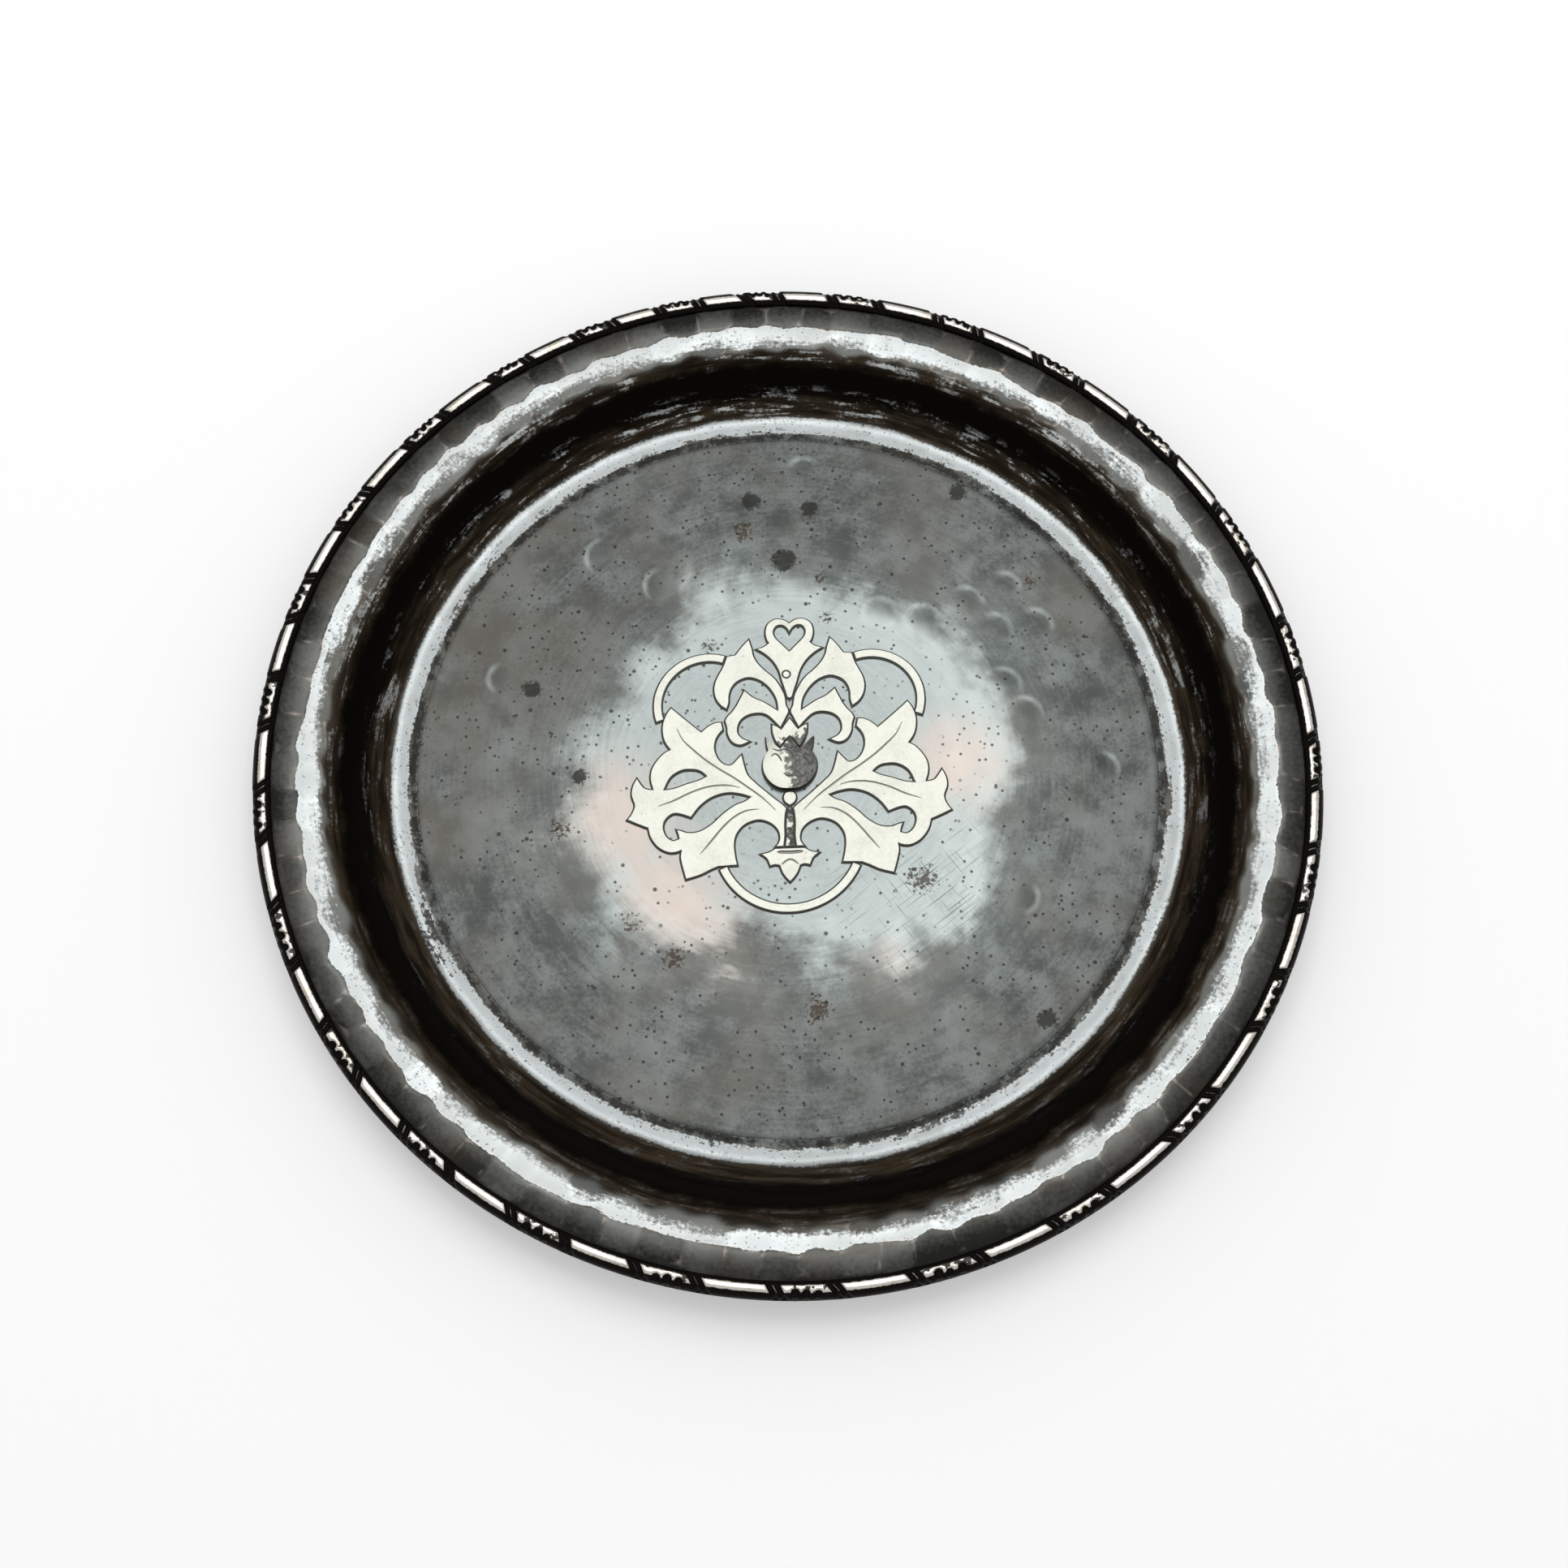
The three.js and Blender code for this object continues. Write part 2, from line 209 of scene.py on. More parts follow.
def sink(obj: bpy.types.Object, depth: np.ndarray) -> None:
    """Sinks each point along its normal, by an applied Displace modifier.

    Args:
        obj: The piece.
        depth: Depth at each point in millimetres, none below zero.
    """
    only(obj)
    deepest = float(depth.max())
    group = obj.vertex_groups.new(name="struck")
    for index in np.flatnonzero(depth > 0):
        group.add([int(index)], float(depth[index] / deepest), "REPLACE")
    press = obj.modifiers.new("struck", "DISPLACE")
    press.vertex_group = group.name
    press.mid_level = 0
    press.strength = -deepest * MM
    bpy.ops.object.modifier_apply(modifier=press.name)
    obj.vertex_groups.clear()


def record_attribute(obj: bpy.types.Object, name: str, values: np.ndarray) -> None:
    """Keeps one number per point on a piece, for its finish to read."""
    attribute = obj.data.attributes.new(name, "FLOAT", "POINT")
    attribute.data.foreach_set("value", np.asarray(values, np.float32))


def smoothstep(low: float, high: float, value: np.ndarray) -> np.ndarray:
    """Rises smoothly from 0 at low to 1 at high."""
    t = np.clip((value - low) / (high - low), 0, 1)
    return t * t * (3 - 2 * t)


def hand_in(obj: bpy.types.Object, finish: "Finish", slot: Slot, *nodes: str) -> None:
    """Dresses a piece, hangs it on the body, and hides the solids that it stands for.

    Args:
        obj: The piece.
        finish: Its finish.
        slot: The record's material slot; not used.
        nodes: The solids that it replaces.
    """
    obj.data.materials.clear()
    obj.data.materials.append(finish.material())
    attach(obj, BODY)
    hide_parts(*nodes)
    LOG.info("%s: %d faces", obj.name, len(obj.data.polygons))


# Shader maths

Number = Union["Value", float]


class Value:
    """An output socket of a node tree that takes part in Python arithmetic."""

    def __init__(self, tree: "NodeTree", socket: bpy.types.NodeSocket) -> None:
        """Wraps one output socket of a tree."""
        self.tree = tree
        self.socket = socket

    def __add__(self, other: Number) -> "Value":
        """Adds."""
        return self.tree.math("ADD", self, other)

    def __radd__(self, other: Number) -> "Value":
        """Adds to a plain number."""
        return self.tree.math("ADD", other, self)

    def __sub__(self, other: Number) -> "Value":
        """Subtracts."""
        return self.tree.math("SUBTRACT", self, other)

    def __rsub__(self, other: Number) -> "Value":
        """Subtracts from a plain number."""
        return self.tree.math("SUBTRACT", other, self)

    def __mul__(self, other: Number) -> "Value":
        """Multiplies."""
        return self.tree.math("MULTIPLY", self, other)

    def __rmul__(self, other: Number) -> "Value":
        """Multiplies a plain number."""
        return self.tree.math("MULTIPLY", other, self)

    def __truediv__(self, other: Number) -> "Value":
        """Divides."""
        return self.tree.math("DIVIDE", self, other)

    def __rtruediv__(self, other: Number) -> "Value":
        """Divides a plain number."""
        return self.tree.math("DIVIDE", other, self)

    def __pow__(self, other: Number) -> "Value":
        """Raises to a power."""
        return self.tree.math("POWER", self, other)

    def around(self, span: float) -> "Value":
        """Turns a noise from 0 to 1 into a movement to both sides of zero."""
        return (self - 0.5) * span


class NodeTree:
    """A node tree that is built by Python expressions."""

    def __init__(self, tree: bpy.types.NodeTree) -> None:
        """Takes over a tree and empties it."""
        self.tree = tree
        self.tree.nodes.clear()

    def node(
        self, kind: str, settings: Mapping[str, Any] = {}, inputs: Mapping[Union[int, str], Any] = {}
    ) -> bpy.types.Node:
        """Adds a node, with its settings first and then its sockets.

        Args:
            kind: The node's type.
            settings: Properties of the node.
            inputs: Values or links by socket name or number.

        Returns:
            The new node.
        """
        made = self.tree.nodes.new(kind)
        for key, value in settings.items():
            setattr(made, key, value)
        for key, value in inputs.items():
            self.feed(made.inputs[key], value)
        return made

    def feed(self, socket: bpy.types.NodeSocket, value: Any) -> None:
        """Links an input socket, or sets its plain value.

        Args:
            socket: The input socket.
            value: A wrapped or plain output socket, a colour or a number.
        """
        if isinstance(value, Value):
            value = value.socket
        if isinstance(value, bpy.types.NodeSocket):
            self.tree.links.new(value, socket)
        elif socket.type == "RGBA":
            socket.default_value = (*value, 1.0)
        else:
            socket.default_value = value

    def math(self, operation: str, *values: Number) -> Value:
        """Adds a Math node on up to three values."""
        node = self.node("ShaderNodeMath", {"operation": operation}, dict(enumerate(values)))
        return Value(self, node.outputs[0])

    def ramp(self, value: Any, low: float, high: float, start: float = 0.0, end: float = 1.0) -> Value:
        """Changes smoothly from a start to an end between two values, the lower one first.

        Args:
            value: The value that is followed.
            low: Where the change starts.
            high: Where it ends.
            start: Result at low and below.
            end: Result at high and above.

        Returns:
            The result.
        """
        inputs = {"Value": value, "From Min": low, "From Max": high, "To Min": start, "To Max": end}
        node = self.node("ShaderNodeMapRange", {"interpolation_type": "SMOOTHSTEP"}, inputs)
        return Value(self, node.outputs["Result"])


class Shader(NodeTree):
    """A material's node tree, with one metal shader and places in millimetres."""

    def __init__(self, name: str) -> None:
        """Starts an empty material.

        Args:
            name: Name of the material.
        """
        self.made = bpy.data.materials.new(name)
        self.made.use_nodes = True
        super().__init__(self.made.node_tree)
        self.surface = self.node("ShaderNodeBsdfPrincipled")
        self.output = self.node("ShaderNodeOutputMaterial")
        self.show(self.surface.outputs["BSDF"])
        scale = {0: self.node("ShaderNodeTexCoord").outputs["Object"], "Scale": 1 / MM}
        self.place = self.node("ShaderNodeVectorMath", {"operation": "SCALE"}, scale).outputs[0]
        split = self.node("ShaderNodeSeparateXYZ", {}, {0: self.place})
        self.x = Value(self, split.outputs[0])
        self.y = Value(self, split.outputs[1])

    def show(self, shader: bpy.types.NodeSocket) -> None:
        """Makes a shader the one that the surface shows."""
        self.tree.links.new(shader, self.output.inputs["Surface"])

    def step(self, value: Number, low: float, high: float) -> Value:
        """Rises smoothly from 0 where a value is low to 1 where it is high, in either direction."""
        return self.ramp(value, low, high) if low < high else self.ramp(value, high, low, 1.0, 0.0)

    def band(self, value: Value, centre: float, half: float) -> Value:
        """Is 1 at a centre and falls smoothly to 0 at a half width on both sides."""
        return self.step(self.math("ABSOLUTE", value - centre), half, 0.0)

    def most(self, first: Value, *others: Value) -> Value:
        """Gives the largest of several values.

        Args:
            first: One value.
            others: The rest.

        Returns:
            The largest.
        """
        for other in others:
            first = self.math("MAXIMUM", first, other)
        return first

    def noise(
        self, pitch: float, detail: float = 3.0, rough: float = 0.55, vector: Any = None, bend: float = 0.0
    ) -> Value:
        """Gives a noise from 0 to 1.

        Args:
            pitch: Length of its waves in millimetres.
            detail: Number of finer layers.
            rough: Strength of the finer layers.
            vector: Coordinates other than the object's own.
            bend: Distortion of the coordinates.

        Returns:
            The noise.
        """
        inputs = {
            "Vector": self.place if vector is None else vector,
            "Scale": 1 / pitch,
            "Detail": detail,
            "Roughness": rough,
            "Distortion": bend,
        }
        return Value(self, self.node("ShaderNodeTexNoise", {}, inputs).outputs[0])

    def specks(self, pitch: float, size: float) -> Value:
        """Gives round specks.

        Args:
            pitch: Their usual distance in millimetres.
            size: Their radius as a share of the pitch.

        Returns:
            1 inside a speck, and 0 outside.
        """
        inputs = {"Vector": self.place, "Scale": 1 / pitch, "Randomness": 1.0}
        node = self.node("ShaderNodeTexVoronoi", {"feature": "F1"}, inputs)
        return self.step(Value(self, node.outputs["Distance"]), size, size * 0.45)

    def strokes(self, angle: float, length: float, width: float) -> Value:
        """Gives a noise drawn out along one direction of the floor, for scratches.

        Args:
            angle: The direction in degrees.
            length: Usual length of a stroke in millimetres.
            width: Usual width of a stroke in millimetres.

        Returns:
            The noise.
        """
        turn = math.radians(angle)
        ahead = (self.x * math.cos(turn) + self.y * math.sin(turn)) / length
        aside = (self.y * math.cos(turn) - self.x * math.sin(turn)) / width
        return self.noise(1.0, detail=1.0, rough=0.5, vector=self.combine(ahead, aside, 0.0))

    def combine(self, x: Number, y: Number, z: Number) -> Value:
        """Makes a vector of three values."""
        return Value(self, self.node("ShaderNodeCombineXYZ", {}, {0: x, 1: y, 2: z}).outputs[0])

    def attribute(self, name: str) -> Value:
        """Reads a number that the piece keeps at its points."""
        return Value(self, self.node("ShaderNodeAttribute", {"attribute_name": name}).outputs["Fac"])

    def blend(self, factor: Number, first: Any, second: Any) -> Value:
        """Mixes two colours.

        Args:
            factor: Share of the second colour.
            first: A colour.
            second: A colour.

        Returns:
            The mixed colour.
        """
        inputs = {0: factor, 6: first, 7: second}
        node = self.node("ShaderNodeMix", {"data_type": "RGBA", "clamp_factor": True}, inputs)
        return Value(self, node.outputs[2])

    def off_axis(self) -> Value:
        """Gives the distance from the object's vertical axis."""
        return self.math("SQRT", self.x * self.x + self.y * self.y)

    def away(self, x: float, y: float) -> Value:
        """Gives the distance from a spot on the floor."""
        return self.math("SQRT", (self.x - x) ** 2 + (self.y - y) ** 2)

    def blob(self, place: Place, edge: Number = 0.0) -> Value:
        """Is 1 at a place on the floor and 0 past its reach, with an edge moved by a noise."""
        x, y, reach = place
        return self.step(self.away(x, y) + edge, reach, 0.0)

    def bump(self, height: Value, strength: float, distance: float) -> Value:
        """Turns a height into a normal, with the distance in millimetres."""
        inputs = {"Strength": strength, "Distance": distance * MM, "Height": height}
        return Value(self, self.node("ShaderNodeBump", {}, inputs).outputs[0])

    def finish(self, **sockets: Any) -> bpy.types.Material:
        """Feeds the shader's sockets.

        Args:
            sockets: Values or links by socket name, with _ for a space.

        Returns:
            The material.
        """
        for key, value in sockets.items():
            self.feed(self.surface.inputs[key.replace("_", " ")], value)
        return self.made


# Finishes


@dataclass(frozen=True)
class Finish:
    """A finish that makes its own material."""

    name: str

    def material(self) -> bpy.types.Material:
        """Gives the finish's material, made once."""
        return bpy.data.materials.get(self.name) or self.make()

    def make(self) -> bpy.types.Material:
        """Builds the material."""
        raise NotImplementedError


class CopperShader(Shader):
    """The dish's shader, with the noises of its patina and what the sheet keeps at its points."""

    def __init__(self, name: str) -> None:
        """Starts an empty material.

        Args:
            name: Name of the material.
        """
        super().__init__(name)
        self.radius = self.off_axis()
        self.broad = self.noise(30.0, detail=4.0, rough=0.6, bend=0.5)
        self.cloud = self.noise(8.0, detail=5.0, rough=0.62)
        self.grain = self.noise(1.0, detail=4.0, rough=0.68)
        self.brush = self.noise(0.9, detail=3.0, rough=0.65, vector=self.round_about(3.0))
        self.streak = self.noise(1.3, detail=4.0, rough=0.62, vector=self.round_about(9.0))
        self.tone = self.attribute("tone")
        uneven = self.attribute("slope") + self.grain.around(3.2) + self.cloud.around(2.4)
        self.slope = uneven + self.streak.around(5.0)

    def round_about(self, turns: float) -> Value:
        """Gives coordinates that change slowly round the dish, for marks that follow its rings."""
        outward = self.radius + 1.0
        return self.combine(self.radius, self.x / outward * turns, self.y / outward * turns)


@dataclass(frozen=True)
class PlanishedCopper(Finish):
    """Dark patina on planished copper, partly rubbed bright and partly painted highlight on two rings and
    around the thistle.

    Zones are radii in millimetres, slopes are degrees towards the dish's axis, and a place is x, y and
    reach in millimetres. Of a zone or a slope, the first number is where its colour starts and the second
    where it is full. Of a band, they are its middle and half its width.
    """

    name: str = "planished_copper"
    floor_dark: Colour = (0.040, 0.044, 0.042)
    floor_light: Colour = (0.101, 0.110, 0.107)
    floor_brown: Colour = (0.080, 0.074, 0.064)
    # Bright colour of the painted highlight around the thistle and on the blows' rims, partly rubbed bright,
    # and of the light hairlines.
    sheen_and_wear: Colour = (0.362, 0.404, 0.394)
    # Warm copper, partly rubbed through and partly painted highlight, on proud ridges, around the thistle and
    # on the outer ring.
    warm_wear_and_glint: Colour = (0.50, 0.415, 0.365)
    # Colours of the two rings, partly rubbed bright and partly painted highlight, and their dull patches.
    ring: Colour = (0.545, 0.575, 0.572)
    inner_ring: Colour = (0.37, 0.393, 0.393)
    ring_dull: Colour = (0.16, 0.168, 0.160)
    # Painted shade of the steep wall and the crease, with brown streaks on the wall.
    shade_black: Colour = (0.0032, 0.0022, 0.0012)
    wall_shade_dark: Colour = (0.014, 0.010, 0.006)
    wall_brown: Colour = (0.052, 0.039, 0.025)
    # Flange colours, mixed by painted shade from the slope, by darkening towards the lip and by a random tone
    # per facet.
    flange_dark: Colour = (0.022, 0.023, 0.021)
    flange_light: Colour = (0.126, 0.129, 0.121)
    scale_black: Colour = (0.014, 0.013, 0.011)
    scale_brown: Colour = (0.055, 0.043, 0.031)
    rust: Colour = (0.036, 0.025, 0.017)
    under_dark: Colour = (0.030, 0.021, 0.015)
    under_light: Colour = (0.105, 0.072, 0.052)
    metallic: float = 0.97
    roughness: float = 0.235
    sides_zone: Range = (93.2, 94.0)
    crease_band: Range = (93.2, 1.30)
    crease_core: float = 0.70
    lip_zone: Range = (121.0, 126.5)
    ridge_inner_zone: Range = (112.0, 114.0)
    ridge_outer_zone: Range = (125.4, 124.2)
    wall_shade_band: Range = (106.6, 6.5)
    cove_reflection_band: Range = (101.6, 4.6)
    shoulder_reflection_band: Range = (112.2, 3.4)
    outer_ring_zone: Range = (104.0, 108.0)
    wall_slopes: Range = (15.0, 25.0)
    inner_ring_low: Range = (4.2, 5.6)
    inner_ring_high: Range = (20.6, 17.4)
    outer_ring_low: Range = (6.0, 6.9)
    outer_ring_high: Range = (14.9, 11.9)
    glint_band: Range = (7.0, 1.6)
    brown_place: Place = (-74.0, 28.0, 62.0)
    scratched_place: Place = (34.0, -32.0, 34.0)
    scarred_place: Place = (-85.6, -45.5, 19.0)
    sheen_and_wear_places: tuple[Place, ...] = (
        (2.0, 8.0, 43.0), (18.0, 12.0, 38.0), (15.0, -18.0, 33.0), (-23.0, -13.0, 33.0), (-13.0, -55.0, 3.0),
        (-19.0, 45.0, 9.0), (25.0, -42.0, 11.0),
    )
    warm_places: tuple[Place, ...] = (
        (-43.0, -12.0, 24.0), (42.0, 2.0, 20.0), (-18.0, -50.0, 20.0), (24.0, -55.0, 15.0),
        (-28.0, -34.0, 20.0),
    )
    dark_spots: tuple[Place, ...] = (
        (-9.7, 74.6, 4.2), (5.3, 72.6, 3.4), (-1.5, 57.4, 5.2), (-64.8, 20.9, 4.0), (-52.1, -2.2, 3.2),
        (44.2, 77.4, 3.8), (61.4, -63.0, 4.4),
    )
    patina_patches: tuple[Place, ...] = (
        (-20.5, 33.4, 6.0), (9.5, 41.5, 5.0), (8.0, 52.0, 5.0), (-56.5, -15.6, 8.0), (-28.0, -48.5, 8.0),
        (33.0, -28.0, 11.0), (-38.0, -40.0, 7.0), (6.0, -61.0, 9.0), (-12.0, 66.0, 9.0), (62.0, 52.0, 6.0),
    )

    def make(self) -> bpy.types.Material:
        """Builds the patina, with its painted highlight and shade, from the slope of the hammered sheet, the
        rubbing and the blows.

        Returns:
            The material.
        """
        s = CopperShader(self.name)
        body = s.blend(s.step(s.radius, *self.sides_zone), self.floor(s), self.sides(s))
        # Painted shade in the crease between floor and cove.
        body = s.blend(self.crease(s), body, self.shade_black)
        under = s.blend(s.broad * 0.5 + s.cloud * 0.5, self.under_dark, self.under_light)
        return s.finish(
            Base_Color=s.blend(s.attribute("upper"), under, body),
            Metallic=self.metallic,
            Roughness=self.roughness + s.grain.around(0.14) + s.brush.around(0.08),
            Normal=s.bump(s.brush * 0.25 + s.grain * 0.7, strength=0.10, distance=0.06),
        )

    def crease(self, s: CopperShader) -> Value:
        """Finds the broken line of painted shade in the crease between floor and cove.

        Args:
            s: The dish's shader.

        Returns:
            How dark it is, from 0 to 1.
        """
        middle, half = self.crease_band
        broken = s.step(s.noise(4.2, detail=2.0, rough=0.5) * 0.6 + s.grain * 0.4, 0.43, 0.51)
        aside = s.math("ABSOLUTE", s.radius + s.grain.around(2.6) - middle)
        return s.step(aside, half, self.crease_core) * (0.08 + broken * 0.66)

    def sides(self, s: CopperShader) -> Value:
        """Colours the cove, wall, shoulder and flange, with painted shade on the steep wall and painted
        highlight, partly rubbed bright, on the two rings, both chosen by slope.

        Args:
            s: The dish's shader.

        Returns:
            Their colour.
        """
        # The steep wall, chosen by slope, gets painted shade.
        body = s.blend(s.step(s.slope, *self.wall_slopes), self.flange(s), self.wall(s))
        ragged_slope = s.slope + s.grain.around(6.0) + s.streak.around(5.0)
        # The two rings, chosen by slope, get painted highlight that is partly rubbed bright.
        inner = s.step(ragged_slope, *self.inner_ring_low) * s.step(ragged_slope, *self.inner_ring_high)
        outer = s.step(s.slope + s.grain.around(2.0), *self.outer_ring_low)
        outer = outer * s.step(s.slope + s.grain.around(2.6), *self.outer_ring_high)
        beyond = s.step(s.radius, *self.outer_ring_zone)
        rings = inner * (1.0 - beyond) + outer * beyond
        return s.blend(rings, body, self.ring_highlights_and_wear(s, beyond))

    def flange(self, s: CopperShader) -> Value:
        """Colours the flange and the upper shoulder, with painted shade by slope, darker towards the lip, a
        random tone per facet and a warm tint on the proud ridges.

        Args:
            s: The dish's shader.

        Returns:
            Their colour.
        """
        # Painted shade by slope, darker towards the lip, with a random tone per facet.
        light = s.step(s.slope, -10.0, 4.0) * 0.40 + s.tone * 0.60 + s.grain.around(0.6) + s.cloud.around(0.6)
        light = light - 0.145 - s.step(s.radius, *self.lip_zone) * 0.22
        body = s.blend(light, self.flange_dark, self.flange_light)
        body = s.blend(s.step(s.broad, 0.48, 0.60) * 0.35, body, self.scale_brown)
        # Warm tint on the facets' proud ridges: partly rubbed copper and partly painted highlight.
        ridge = s.step(s.attribute("proud") + s.grain.around(0.02), 0.05, 0.0) * s.step(s.cloud, 0.36, 0.56)
        ridge = ridge * s.step(s.radius, *self.ridge_inner_zone) * s.step(s.radius, *self.ridge_outer_zone)
        return s.blend(ridge * 0.30, body, self.warm_wear_and_glint)

    def wall(self, s: CopperShader) -> Value:
        """Colours the steep wall with painted shade, black in its middle and streaked with brown, and with
        flecks of painted reflection, stronger towards +Y.

        Args:
            s: The dish's shader.

        Returns:
            Its colour.
        """
        # Black middle of the wall: painted shade.
        black = s.band(s.radius + s.cloud.around(5.0), *self.wall_shade_band)
        brown = s.blend(s.step(s.streak, 0.36, 0.64), self.wall_shade_dark, self.wall_brown)
        wall = s.blend(s.step(black, 0.0, 0.75), brown, self.shade_black)
        # Bright flecks of painted reflection on the wall, stronger towards +Y.
        reflection_fleck = s.step(s.streak * 0.75 + s.grain * 0.25, 0.52, 0.61) * s.step(s.cloud, 0.44, 0.58)
        zones = s.band(s.radius, *self.cove_reflection_band) + s.band(s.radius, *self.shoulder_reflection_band)
        return s.blend(reflection_fleck * zones * (0.15 + s.step(s.y, -40.0, 80.0) * 0.85), wall, self.ring)

    def ring_highlights_and_wear(self, s: CopperShader, beyond: Value) -> Value:
        """Colours the two bright rings, partly rubbed bright and partly painted highlight, chosen by slope.

        Args:
            s: The dish's shader.
            beyond: 0 on the inner ring and 1 on the outer one.

        Returns:
            Their colour.
        """
        sheen_and_wear = s.blend(beyond, self.inner_ring, self.ring)
        dull = s.step(s.grain * 0.5 + s.streak * 0.25 + s.cloud * 0.25, 0.52, 0.64)
        sheen_and_wear = s.blend(s.most(dull * 0.75, s.tone * 0.30), sheen_and_wear, self.ring_dull)
        # A warm painted glint at the outer ring's edge, chosen by slope.
        glint = s.band(s.slope, *self.glint_band) * s.step(s.cloud, 0.48, 0.62) * beyond
        sheen_and_wear = s.blend(glint * 0.7, sheen_and_wear, self.warm_wear_and_glint)
        sheen_and_wear = s.blend(s.specks(1.5, 0.16) * 0.8, sheen_and_wear, self.scale_brown)
        scar = s.step(s.grain * 0.5 + s.streak * 0.5 + s.blob(self.scarred_place) * 0.16, 0.60, 0.66)
        return s.blend(scar * 0.9, sheen_and_wear, self.scale_black)

    def floor(self, s: CopperShader) -> Value:
        """Colours the flat floor, with a painted highlight around the thistle that is partly rubbed bright.

        Args:
            s: The dish's shader.

        Returns:
            The floor's colour.
        """
        mix = s.broad * 0.28 + s.cloud * 0.36 + s.brush * 0.16 + s.grain * 0.20
        floor = s.blend(s.step(mix, 0.41, 0.59), self.floor_dark, self.floor_light)
        hue = s.noise(22.0, detail=3.0, rough=0.55, vector=s.combine(s.y + 140.0, s.x, 0.0))
        hue = hue + s.blob(self.brown_place) * 0.22
        floor = s.blend(s.step(hue, 0.40, 0.70) * 0.55, floor, self.floor_brown)
        # Bright area around the thistle: painted highlight, partly rubbed bright; the warm places tint it.
        inside = s.most(*(reach - s.away(x, y) for x, y, reach in self.sheen_and_wear_places))
        inside = inside + s.broad.around(38.0) + s.cloud.around(10.0) + s.brush.around(3.0)
        centre_sheen_and_wear = s.most(s.step(inside, -7.0, 8.0) * 0.95, s.step(inside, -26.0, 14.0) * 0.21)
        floor = s.blend(centre_sheen_and_wear * (0.66 + s.brush * 0.22 + s.cloud * 0.28), floor, self.sheen_and_wear)
        for place in self.warm_places:
            warm = s.blob(place, s.cloud.around(14.0) + s.broad.around(10.0))
            floor = s.blend(warm * centre_sheen_and_wear * 0.75, floor, self.warm_wear_and_glint)
        for place in self.dark_spots:
            spot = s.step(s.blob(place, s.grain.around(3.4) + s.cloud.around(4.0)), 0.22, 0.52)
            floor = s.blend(spot * 0.82, floor, self.scale_black)
        speckle = s.grain * 0.55 + s.cloud * 0.45
        for place in self.patina_patches:
            patch = s.step(speckle + s.blob(place, s.cloud.around(8.0)) * 0.20, 0.66, 0.71)
            floor = s.blend(patch * 0.85, floor, self.rust)
        return self.marks(s, floor)

    def marks(self, s: CopperShader, floor: Value) -> Value:
        """Adds the tilted blows, with painted shade in each dent and a painted highlight on its rim, and the
        scratches and the pits to the floor.

        Args:
            s: The dish's shader.
            floor: The floor's colour.

        Returns:
            The floor's colour with its marks.
        """
        for blow in TILTED_BLOWS:
            turn = math.radians(blow.lean)
            away = s.away(blow.x, blow.y) + s.grain.around(0.4)
            ahead = ((s.x - blow.x) * math.cos(turn) + (s.y - blow.y) * math.sin(turn)) / blow.reach
            # Each tilted blow: painted shade in its dent and a painted highlight on its rim.
            dent_shade = s.step(away, blow.reach, 0.5 * blow.reach) * s.step(ahead, -0.7, 0.5)
            rim = s.band(away, blow.reach, 1.3) * s.step(ahead, 0.2, 1.0)
            floor = s.blend(dent_shade * 0.5, floor, self.floor_dark)
            floor = s.blend(rim * 0.30, floor, self.sheen_and_wear)
        scratches = s.most(
            s.step(s.strokes(38.0, length=16.0, width=0.34), 0.64, 0.70),
            s.step(s.strokes(-52.0, length=12.0, width=0.30), 0.65, 0.71),
        )
        floor = s.blend(scratches * (s.blob(self.scratched_place) * 0.75 + 0.02), floor, self.floor_dark)
        hairlines = s.most(
            s.step(s.strokes(12.0, length=18.0, width=0.3), 0.64, 0.76),
            s.step(s.strokes(115.0, length=14.0, width=0.3), 0.66, 0.78),
        )
        floor = s.blend(hairlines * 0.05, floor, self.sheen_and_wear)
        pits = s.most(
            s.specks(2.2, 0.23) * s.step(s.cloud + s.broad.around(0.5), 0.42, 0.52),
            s.specks(6.0, 0.12) * s.step(s.cloud, 0.40, 0.50),
        )
        return s.blend(pits * 0.85, floor, self.scale_black)


@dataclass(frozen=True)
class BorderSilver(Finish):
    """Soft polished silver, tarnished black where the chisel and the punch went in, and dark off a band along
    the crown, painted shade on the wire's sides as well as tarnish.
    """

    name: str = "chased_border_silver"
    bright: Colour = (0.75, 0.725, 0.67)
    warm: Colour = (0.69, 0.615, 0.535)
    dull: Colour = (0.40, 0.39, 0.36)
    tarnish: Colour = (0.010, 0.009, 0.008)
    struck_dark: Range = (0.10, 0.34)
    crown_band_half: Range = (0.68, 0.94)

    def make(self) -> bpy.types.Material:
        """Builds the silver from how deep each place was struck.

        Returns:
            The material.
        """
        s = Shader(self.name)
        cloud = s.noise(7.0, detail=4.0, rough=0.6)
        grain = s.noise(0.8, detail=3.0, rough=0.6)
        silver = s.blend(s.step(cloud, 0.42, 0.68), self.bright, self.warm)
        silver = s.blend(s.step(cloud * 0.6 + grain * 0.4, 0.52, 0.66) * 0.75, silver, self.dull)
        dark = s.most(
            s.step(s.attribute("struck"), *self.struck_dark),
            # Off a band along the crown: painted shade on the wire's sides, partly tarnish.
            s.step(s.attribute("beside") + grain.around(0.5), *self.crown_band_half),
            s.step(s.noise(1.5, detail=2.0, rough=0.5), 0.53, 0.60) * s.attribute("panel") * 0.92,
        )
        return s.finish(
            Base_Color=s.blend(dark, silver, self.tarnish),
            Metallic=1.0,
            Roughness=0.27 + grain.around(0.12) + dark * 0.2,
            Normal=s.bump(grain, strength=0.2, distance=0.04),
        )


